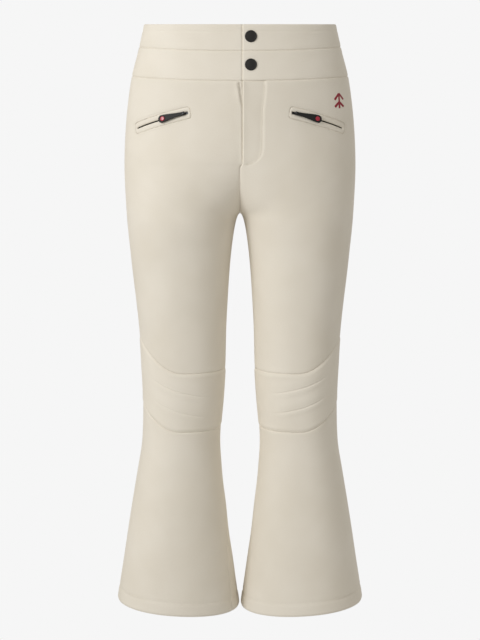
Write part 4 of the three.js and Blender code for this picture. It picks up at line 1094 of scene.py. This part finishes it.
def strip(name, corners_of, count, across, thickness, material):
    """A flat strip with its long sides rounded: corners_of gives a point for (share along, across,
    out), and the cross-section is a thin rounded oblong."""
    near, far = across
    radius = thickness / 2
    turn = np.linspace(-np.pi / 2, np.pi / 2, 5)
    side_a = np.r_[far - radius + radius * np.cos(turn), near + radius - radius * np.cos(turn)]
    side_o = np.r_[radius * np.sin(turn), -radius * np.sin(turn)]
    share = np.linspace(0, 1, count)[:, None]
    rings = corners_of(share + 0 * side_a, side_a + 0 * share, side_o + 0 * share)
    piece = solid(name, rings, sharp=50)
    layer = piece.data.uv_layers.new(name="cloth")
    index = np.zeros(len(piece.data.loops), np.int32)
    piece.data.loops.foreach_get("vertex_index", index)
    length = np.linalg.norm(np.diff(rings[:, 0], axis=0), axis=1).sum()
    uv = np.stack([side_a + 0 * share, share * length + 0 * side_a], -1).reshape(-1, 2)
    layer.data.foreach_set("uv", uv[index].astype(np.float32).ravel())
    return dress(piece, material)


for side, sign in (("left", 1), ("right", -1)):
    edges = sorted((sign * (COIL_HALF + 0.3 * MM), sign * (COIL_HALF + 10.3 * MM)))
    tape = strip("fly_zip_tape_" + side, lambda s, a, o: in_fly(a, o, s * ZIP_LENGTH), 40, edges,
                 TAPE_THICKNESS, cream_tape)
    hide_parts("fly_zip_tape_" + side)
    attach(tape, "seat")
fly_coil = coil("fly_zip_coil", lambda run, a, o: in_fly(a, -o, run), (COIL_TOP, COIL_BOTTOM), cream_nylon)
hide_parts("fly_zip_coil")
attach(fly_coil, "seat")
shield = strip("fly_shield", lambda s, a, o: in_fly(a, o + 3.3 * MM, s * 103.5 * MM - 1.5 * MM), 60,
               (-28 * MM, 14.7 * MM), CLOTH, softshell)
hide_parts("fly_shield")
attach(shield, "seat")
for node in ("fly_zip_slider", "fly_zip_pull"):
    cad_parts[node].data.materials.clear()
    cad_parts[node].data.materials.append(gunmetal)


# ---------------------------------------------------------------- pockets
# Each front has a slanted zip pocket: a window in the panel, two soft lips of softshell that nearly
# meet over a black coil zip, a gunmetal slider, and a black rubber puller with a red inlay.

ARC_CENTRE = np.array([33.9889, 62.4851, -146.4893]) * MM
ARC_AXIS = np.array([0.1631, 0.2938, 0.9418])
ARC_OUT = np.array([0.2243, -0.9407, 0.2546])
ARC_ALONG = np.array([0.9608, 0.1697, -0.2193])
ARC_RADIUS = 137.936 * MM
SLIT_LENGTH = 73.108 * MM
WINDOW_HALF, WINDOW_SPARE = 7.5 * MM, 4 * MM
SLIT_HALF = 0.8 * MM
TAPE_HALF = 11 * MM
PIVOT_RUN, PIVOT_OUT = 4.5 * MM, 7.0 * MM  # the puller's hinge, at rest
PULLER_START, PULLER_LENGTH = 6.8 * MM, 31 * MM
PULLER_TIP, PULLER_END, PULLER_THICKNESS = 2.1 * MM, 5 * MM, 1.8 * MM
DOT_RUN, DOT_RADIUS = 32.2 * MM, 2.9 * MM
EAR_FROM, EAR_WIDTH, PIN_RADIUS = 1.05 * MM, 0.8 * MM, 0.6 * MM
BAG_DEPTH = 10 * MM


def in_pocket(run, across, out):
    """Point of the left pocket: along its arc from the inner end, across it, and out from the zip."""
    run, across, out = (v[..., None] for v in np.broadcast_arrays(run, across, out))
    radial = np.cos(run / ARC_RADIUS) * ARC_OUT + np.sin(run / ARC_RADIUS) * ARC_ALONG
    return ARC_CENTRE + (ARC_RADIUS + out) * radial + across * ARC_AXIS


def on_cloth(run, across):
    """Where the straight line out of the pocket at (run, across) meets the cloth, by halving 30 times."""
    run, across = np.broadcast_arrays(run, across)
    low, high = np.full(run.shape, -4 * MM), np.full(run.shape, 20 * MM)
    for _ in range(30):
        middle = (low + high) / 2
        inside = level(in_pocket(run, across, middle)) < 0
        low, high = np.where(inside, middle, low), np.where(inside, high, middle)
    return in_pocket(run, across, low)


def rounded_oblong(half_length, half_width, radius, long=60, short=6, corner=6):
    """Outline of an oblong with round corners, with the same number of points in each part whatever
    its size, so that two outlines can be joined point by point."""
    x, y = half_length - radius, half_width - radius
    turn = np.linspace(0, np.pi / 2, corner, endpoint=False)
    pieces = []
    for k, (cx, cy, straight) in enumerate(((x, y, long), (-x, y, short), (-x, -y, long), (x, -y, short))):
        angle = turn + k * np.pi / 2
        pieces.append(np.stack([cx + radius * np.cos(angle), cy + radius * np.sin(angle)], -1))
        nx, ny = ((-x, y), (-x, -y), (x, -y), (x, y))[k]
        end = (k + 1) * np.pi / 2
        a = np.array([cx + radius * np.cos(end), cy + radius * np.sin(end)])
        b = np.array([nx + radius * np.cos(end), ny + radius * np.sin(end)])
        pieces.append(a + np.linspace(0, 1, straight, endpoint=False)[:, None] * (b - a))
    return np.concatenate(pieces)


middle_run = SLIT_LENGTH / 2
window = rounded_oblong(SLIT_LENGTH / 2 + WINDOW_SPARE, WINDOW_HALF, 4 * MM)
slit_edge = rounded_oblong(SLIT_LENGTH / 2 + 0.6 * MM, SLIT_HALF, 0.75 * MM)
slit_edge[:, 1] *= 1 + 0.9 * ease((-slit_edge[:, 0] + 0 * MM) / (14 * MM))  # wider where the slider rests
# The lips' cross-section, from the window's edge (0) to the slit (1), with heights in mm. The outer
# face dips at the seam, swells, and rolls in at the slit.
LIP = np.array([
    (0.00, -1.0), (0.05, -0.55), (0.12, -0.12), (0.25, 0.18), (0.45, 0.32), (0.65, 0.3), (0.82, 0.05),
    (0.93, -0.45), (0.99, -1.1), (1.00, -1.9), (0.94, -2.4), (0.86, -2.1), (0.75, -1.5), (0.5, -1.15),
    (0.25, -1.25), (0.1, -1.5), (0.0, -1.6),
])

black_tape = woven_cloth("black_herringbone_tape", "#24221F", "#171614", 1.0 * MM, 0.7, 0.15, 0.15 * MM)
black_nylon = moulded("black_nylon_coil", "#262422", "#1B1A18", 0.35, 0.4 * MM, 0.01 * MM)
black_rubber = moulded("black_moulded_rubber", "#0D0B08", "#090806", 0.62, 0.35 * MM, 0.03 * MM)
red_resin = moulded("red_resin_inlay", "#B3203A", "#9C1730", 0.3, 0.6 * MM, 0.01 * MM,
                    Coat_Weight=0.4, Coat_Roughness=0.15)


def flip(points, side):
    """Mirrors points to the right half."""
    return points * [-1, 1, 1] if side == "right" else points


for side in SIDES:
    # The window: a block through the panel, taken away from it.
    block = np.stack([in_pocket(middle_run + window[:, 0], window[:, 1], out * MM) for out in (-6, 14)])
    cutter = solid("window_cutter", flip(block, side))
    cut = fronts[side].modifiers.new("window", "BOOLEAN")
    cut.operation, cut.solver, cut.object = "DIFFERENCE", "EXACT", cutter
    shown = fronts[side].evaluated_get(bpy.context.evaluated_depsgraph_get())
    opened = bpy.data.meshes.new_from_object(shown)
    fronts[side].modifiers.clear()
    fronts[side].data = opened
    bpy.data.objects.remove(cutter)
    bend_at_knee(fronts[side])

    share = LIP[:, 0][None, :, None]
    flat = window[:, None] * (1 - share) * [0.996, 0.99] + slit_edge[:, None] * share
    p = on_cloth(middle_run + flat[..., 0], flat[..., 1])
    p = p + outward(p) * LIP[:, 1][None, :, None] * MM
    lips = solid("pocket_lips_" + side, flip(p, side), closed=True)
    layer = lips.data.uv_layers.new(name="cloth")
    index = np.zeros(len(lips.data.loops), np.int32)
    lips.data.loops.foreach_get("vertex_index", index)
    layer.data.foreach_set("uv", flat.reshape(-1, 2)[index].astype(np.float32).ravel())
    dress(lips, softshell)
    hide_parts("pocket_welt_" + side)
    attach(lips, "seat")

    frame_line = rounded_oblong(SLIT_LENGTH / 2 + WINDOW_SPARE + 2.5 * MM, WINDOW_HALF + 2.5 * MM, 5 * MM)
    frame_line = np.r_[frame_line, frame_line[:1]]
    p = on_cloth(middle_run + frame_line[:, 0], frame_line[:, 1])
    row = stitches("pocket_stitches_" + side, flip(p, side), flip(outward(p), side),
                   pitch=2.9 * MM, radius=0.11 * MM)
    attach(row, "seat")

    def along_zip(s, a, o):
        return flip(in_pocket(-4 * MM + s * (SLIT_LENGTH + 6.5 * MM), a, o), side)

    halves = [(-TAPE_HALF, -COIL_HALF + 0.5 * MM), (COIL_HALF - 0.5 * MM, TAPE_HALF)]
    tape_parts = [strip("tape_part", along_zip, 60, edges, TAPE_THICKNESS, black_tape)
                  for edges in halves]
    tape = tape_parts[0]
    with bpy.context.temp_override(active_object=tape, selected_editable_objects=tape_parts):
        bpy.ops.object.join()
    tape.name = "pocket_zip_tape_%s_finished" % side
    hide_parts("pocket_zip_tape_" + side)
    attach(tape, "seat")
    pocket_coil = coil("pocket_zip_coil_" + side, lambda run, a, o: flip(in_pocket(run, a, o), side),
                       (2.8 * MM, SLIT_LENGTH + 0.6 * MM), black_nylon)
    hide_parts("pocket_zip_coil_" + side)
    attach(pocket_coil, "seat")
    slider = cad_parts["pocket_zip_slider_" + side]
    slider.data.materials.clear()
    slider.data.materials.append(gunmetal)

    # The puller's strap: a rounded cross-section that widens to a round end, dished round the inlay.
    s = np.r_[np.linspace(0, 0.86, 40), 0.86 + 0.14 * np.sin(np.linspace(0, np.pi / 2, 14))[1:-1], 0.9995]
    bulb = np.sqrt(np.clip(1 - (np.clip(s - 0.86, 0, 1) / 0.14) ** 2, 0, 1))
    half = (PULLER_TIP + (PULLER_END - PULLER_TIP) * ease(s * 1.1)) * bulb
    turn = np.linspace(0, 2 * np.pi, 28, endpoint=False)
    boxy = 2 / 3.2
    a = np.sign(np.cos(turn)) * np.abs(np.cos(turn)) ** boxy
    o = np.sign(np.sin(turn)) * np.abs(np.sin(turn)) ** boxy
    run = PULLER_START + s[:, None] * PULLER_LENGTH + 0 * a
    across = half[:, None] * a
    slim = np.minimum(1, 0.25 + half / (2 * MM))[:, None]
    out = PIVOT_OUT + o * slim * PULLER_THICKNESS / 2
    rib = (np.abs(a) < 0.75) & (o > 0)
    recess = ease((1.32 - np.hypot(run - DOT_RUN, across) / DOT_RADIUS) / 0.12)
    out = out - np.where(o > 0, 0.45 * MM * recess, 0)
    grip = (run < DOT_RUN - 8 * MM) & (run > PULLER_START + 5 * MM)
    out = out - np.where(rib & grip, 0.22 * MM * (0.5 + 0.5 * np.cos(2 * np.pi * run / (2.6 * MM))), 0)
    strap = solid("pocket_puller_" + side, flip(in_pocket(run, across, out), side), sharp=50)
    dress(strap, black_rubber)
    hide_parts("pocket_zip_puller_" + side)
    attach(strap, "pocket_puller_" + side)

    # Two ears run from the strap's root to a pin through the slider's lug.
    turn = np.linspace(0, 2 * np.pi, 20, endpoint=False)
    for number, near in enumerate((-EAR_FROM - EAR_WIDTH, EAR_FROM), 1):
        ear = rounded_oblong(2.2 * MM, 1.1 * MM, 1.0 * MM, long=8, short=2, corner=5)
        ear = ear + [PIVOT_RUN + 1.1 * MM, PIVOT_OUT]
        rings = np.stack([in_pocket(ear[:, 0], near + share * EAR_WIDTH + 0 * ear[:, 0], ear[:, 1])
                          for share in (0, 0.15, 0.85, 1)])
        piece = solid("pocket_puller_ear_%s_%d" % (side, number), flip(rings, side))
        dress(piece, black_rubber)
        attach(piece, "pocket_puller_" + side)
    reach = np.array([-1, 1]) * (EAR_FROM + 0.4 * MM)
    rings = np.stack([in_pocket(PIVOT_RUN + PIN_RADIUS * np.cos(turn), share + 0 * turn,
                                PIVOT_OUT + PIN_RADIUS * np.sin(turn))
                      for share in reach])
    pin = solid("pocket_puller_pin_" + side, flip(rings, side))
    dress(pin, gunmetal)
    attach(pin, "pocket_puller_" + side)

    turn = np.linspace(0, 2 * np.pi, 40, endpoint=False)
    profile = np.array([(1.0, -0.7), (1.0, -0.05), (0.95, 0.12), (0.85, 0.2), (0.6, 0.27), (0.3, 0.3),
                        (0.01, 0.31)])
    radius = profile[:, :1] * DOT_RADIUS
    dot_points = in_pocket(DOT_RUN + radius * np.cos(turn), radius * np.sin(turn),
                           PIVOT_OUT + PULLER_THICKNESS / 2 + profile[:, 1:] * MM)
    dot = solid("pocket_puller_inlay_" + side, flip(dot_points, side))
    dress(dot, red_resin)
    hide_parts("pocket_puller_dot_" + side)
    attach(dot, "pocket_puller_" + side)

    # The bag: one sheet sewn round its edge behind the panel and slack in between.
    top, bottom = -84 * MM, -223 * MM
    around, z, share = grid_positions(lambda z: around_of_x(46 * MM, z), lambda z: around_of_x(141 * MM, z),
                                      lambda a: top + 0 * a, lambda a: bottom + 0 * a,
                                      100 * MM, 139 * MM, 2.6 * MM)
    p = surface(around, z)
    normal = outward(p)
    along, down = ground_lengths(p)
    rim = np.min([along, along[-1:] - along, down, down[:, -1:] - down], 0)
    wave = 0.7 * MM * np.sin(along / (9 * MM) + down / (14 * MM))
    slack = BAG_DEPTH * ease(rim / (14 * MM)) + wave * ease(rim / (9 * MM))
    outer = p - normal * (CLOTH + 0.9 * MM + slack)[..., None]
    bag = closed_sheet("pocket_bag_" + side, outer, outer - normal * LINING,
                       np.stack([along, -down], -1), side == "right")
    dress(bag, ivory_lining)
    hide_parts("pocket_bag_" + side)
    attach(bag, "seat")


# ---------------------------------------------------------------- embroidered mark
# Beside the left pocket a small plain mark of two stacked chevrons and a stem is sewn in red satin
# stitch: threads laid side by side across each stroke.

MARK_X, MARK_DROP = 126 * MM, 96 * MM
MARK_WIDTH, MARK_HEIGHT, MARK_STROKE = 16 * MM, 20 * MM, 3.4 * MM
red_thread = thread_material("red_rayon_embroidery", "#9A0A27")
z0 = np.array(-MARK_DROP)
mark_at = surface(around_of_x(MARK_X, z0), z0)
mark_out = outward(mark_at)
mark_across = np.cross([0, 0, 1], mark_out)
mark_across /= np.linalg.norm(mark_across)
mark_up = np.cross(mark_out, mark_across)


def satin(name, start, end):
    """One stroke of satin stitch: a low dome along the line, with a ridge for each 0.5 mm thread."""
    start, end = np.array(start), np.array(end)
    length = np.linalg.norm(end - start)
    way = (end - start) / length
    s = np.linspace(0, 1, int(length / (0.125 * MM)))
    turn = np.linspace(0, 2 * np.pi, 16, endpoint=False)
    thick = 0.5 * MM * (1 + 0.16 * np.cos(2 * np.pi * s * length / (0.5 * MM)))
    close = np.sqrt(np.clip(1 - (2 * np.clip(s - 0.5, -0.5, 0.5)) ** 24, 0.05, 1))
    a = MARK_STROKE / 2 * close[:, None] * np.cos(turn)
    o = (thick * close)[:, None] * np.sin(turn)
    flat = start + s[:, None, None] * (end - start) + a[..., None] * np.array([-way[1], way[0]])
    p = mark_at + flat[..., :1] * mark_across + flat[..., 1:] * mark_up
    for _ in range(3):
        p = p - mark_out * (level(p) / 24)[..., None]
    p = p + (o + 0.1 * MM)[..., None] * mark_out
    piece = solid(name, p, sharp=70)
    dress(piece, red_thread)
    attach(piece, "seat")
    return piece


w, h = MARK_WIDTH / 2, MARK_HEIGHT / 2
strokes = [
    ((-w, -h + 2 * MM), (0, -1.8 * MM)), ((w, -h + 2 * MM), (0, -1.8 * MM)),
    ((-w, 1 * MM), (0, h - 1 * MM)), ((w, 1 * MM), (0, h - 1 * MM)),
    ((0, -h), (0, h - 2 * MM)),
]
mark = [satin("chevron_mark_%d" % number, *stroke) for number, stroke in enumerate(strokes, 1)]
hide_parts("emblem")


# ---------------------------------------------------------------- floor, light and camera
# A pale round studio floor that turns up into a pale wall far out, two large soft lights, and a camera
# at the waist's height that looks a little down.

floor_radius, wall_height, fillet = 9.0, 9.0, 3.0
bend = np.linspace(0, np.pi / 2, 16)
sweep_r = np.r_[0.0005, 1, 3, floor_radius - fillet + fillet * np.sin(bend), floor_radius]
sweep_z = np.r_[0, 0, 0, fillet - fillet * np.cos(bend), wall_height] - 1.05
turn = np.linspace(0, 2 * np.pi, 72, endpoint=False)
rings = np.stack([sweep_r[:, None] * np.cos(turn), sweep_r[:, None] * np.sin(turn),
                  sweep_z[:, None] + 0 * turn], -1)
ids = np.arange(rings.shape[0] * 72).reshape(-1, 72)
right = np.roll(ids, -1, axis=1)
quads = np.stack([ids[:-1], right[:-1], right[1:], ids[1:]], -1).reshape(-1, 4)
sweep = link("studio_sweep", mesh_of("studio_sweep", rings.reshape(-1, 3), quads))
backdrop, backdrop_surface = new_material("matt_white_backdrop", Roughness=1.0)
backdrop_surface.inputs["Base Color"].default_value = [0, 0, 0, 1]
backdrop_surface.inputs["Emission Color"].default_value = hex_colour("#F6F6F6")
backdrop_surface.inputs["Specular IOR Level"].default_value = 0
backdrop_surface.inputs["Emission Strength"].default_value = 1
sweep.data.materials.append(backdrop)
sweep.visible_diffuse = False
sweep.visible_glossy = False
sweep.visible_shadow = False

world = bpy.data.worlds.new("soft_studio")
world.use_nodes = True
world.node_tree.nodes["Background"].inputs["Color"].default_value = hex_colour("#FFFBF4")
world.node_tree.nodes["Background"].inputs["Strength"].default_value = 0.515
bpy.context.scene.world = world


def soft_light(name, place, size, watts, aim=(0, 0, -0.4), spread=180):
    """A square area light at a place, turned to face the aim, with a spread in degrees."""
    data = bpy.data.lights.new(name, "AREA")
    data.spread = math.radians(spread)
    data.shape, data.size, data.energy = "SQUARE", size, watts
    lamp = bpy.data.objects.new(name, data)
    lamp.location = place
    lamp.rotation_euler = (Vector(aim) - Vector(place)).to_track_quat("-Z", "Y").to_euler()
    bpy.context.scene.collection.objects.link(lamp)


soft_light("key_left", (-2.1, -1.9, 0.9), 1.4, 9.4, aim=(0, 0, -0.05), spread=75)
soft_light("back_fill", (0.6, 3.4, 1.0), 2.4, 45)

camera_data = bpy.data.cameras.new("camera")
camera_data.lens = 106.9
camera_data.sensor_width = 36
camera = bpy.data.objects.new("camera", camera_data)
camera.location = (0, -2.472, 0)
camera.rotation_euler = (math.radians(90 - 8.85), 0, 0)
bpy.context.scene.collection.objects.link(camera)
bpy.context.scene.camera = camera
bpy.context.scene.view_settings.view_transform = "Standard"
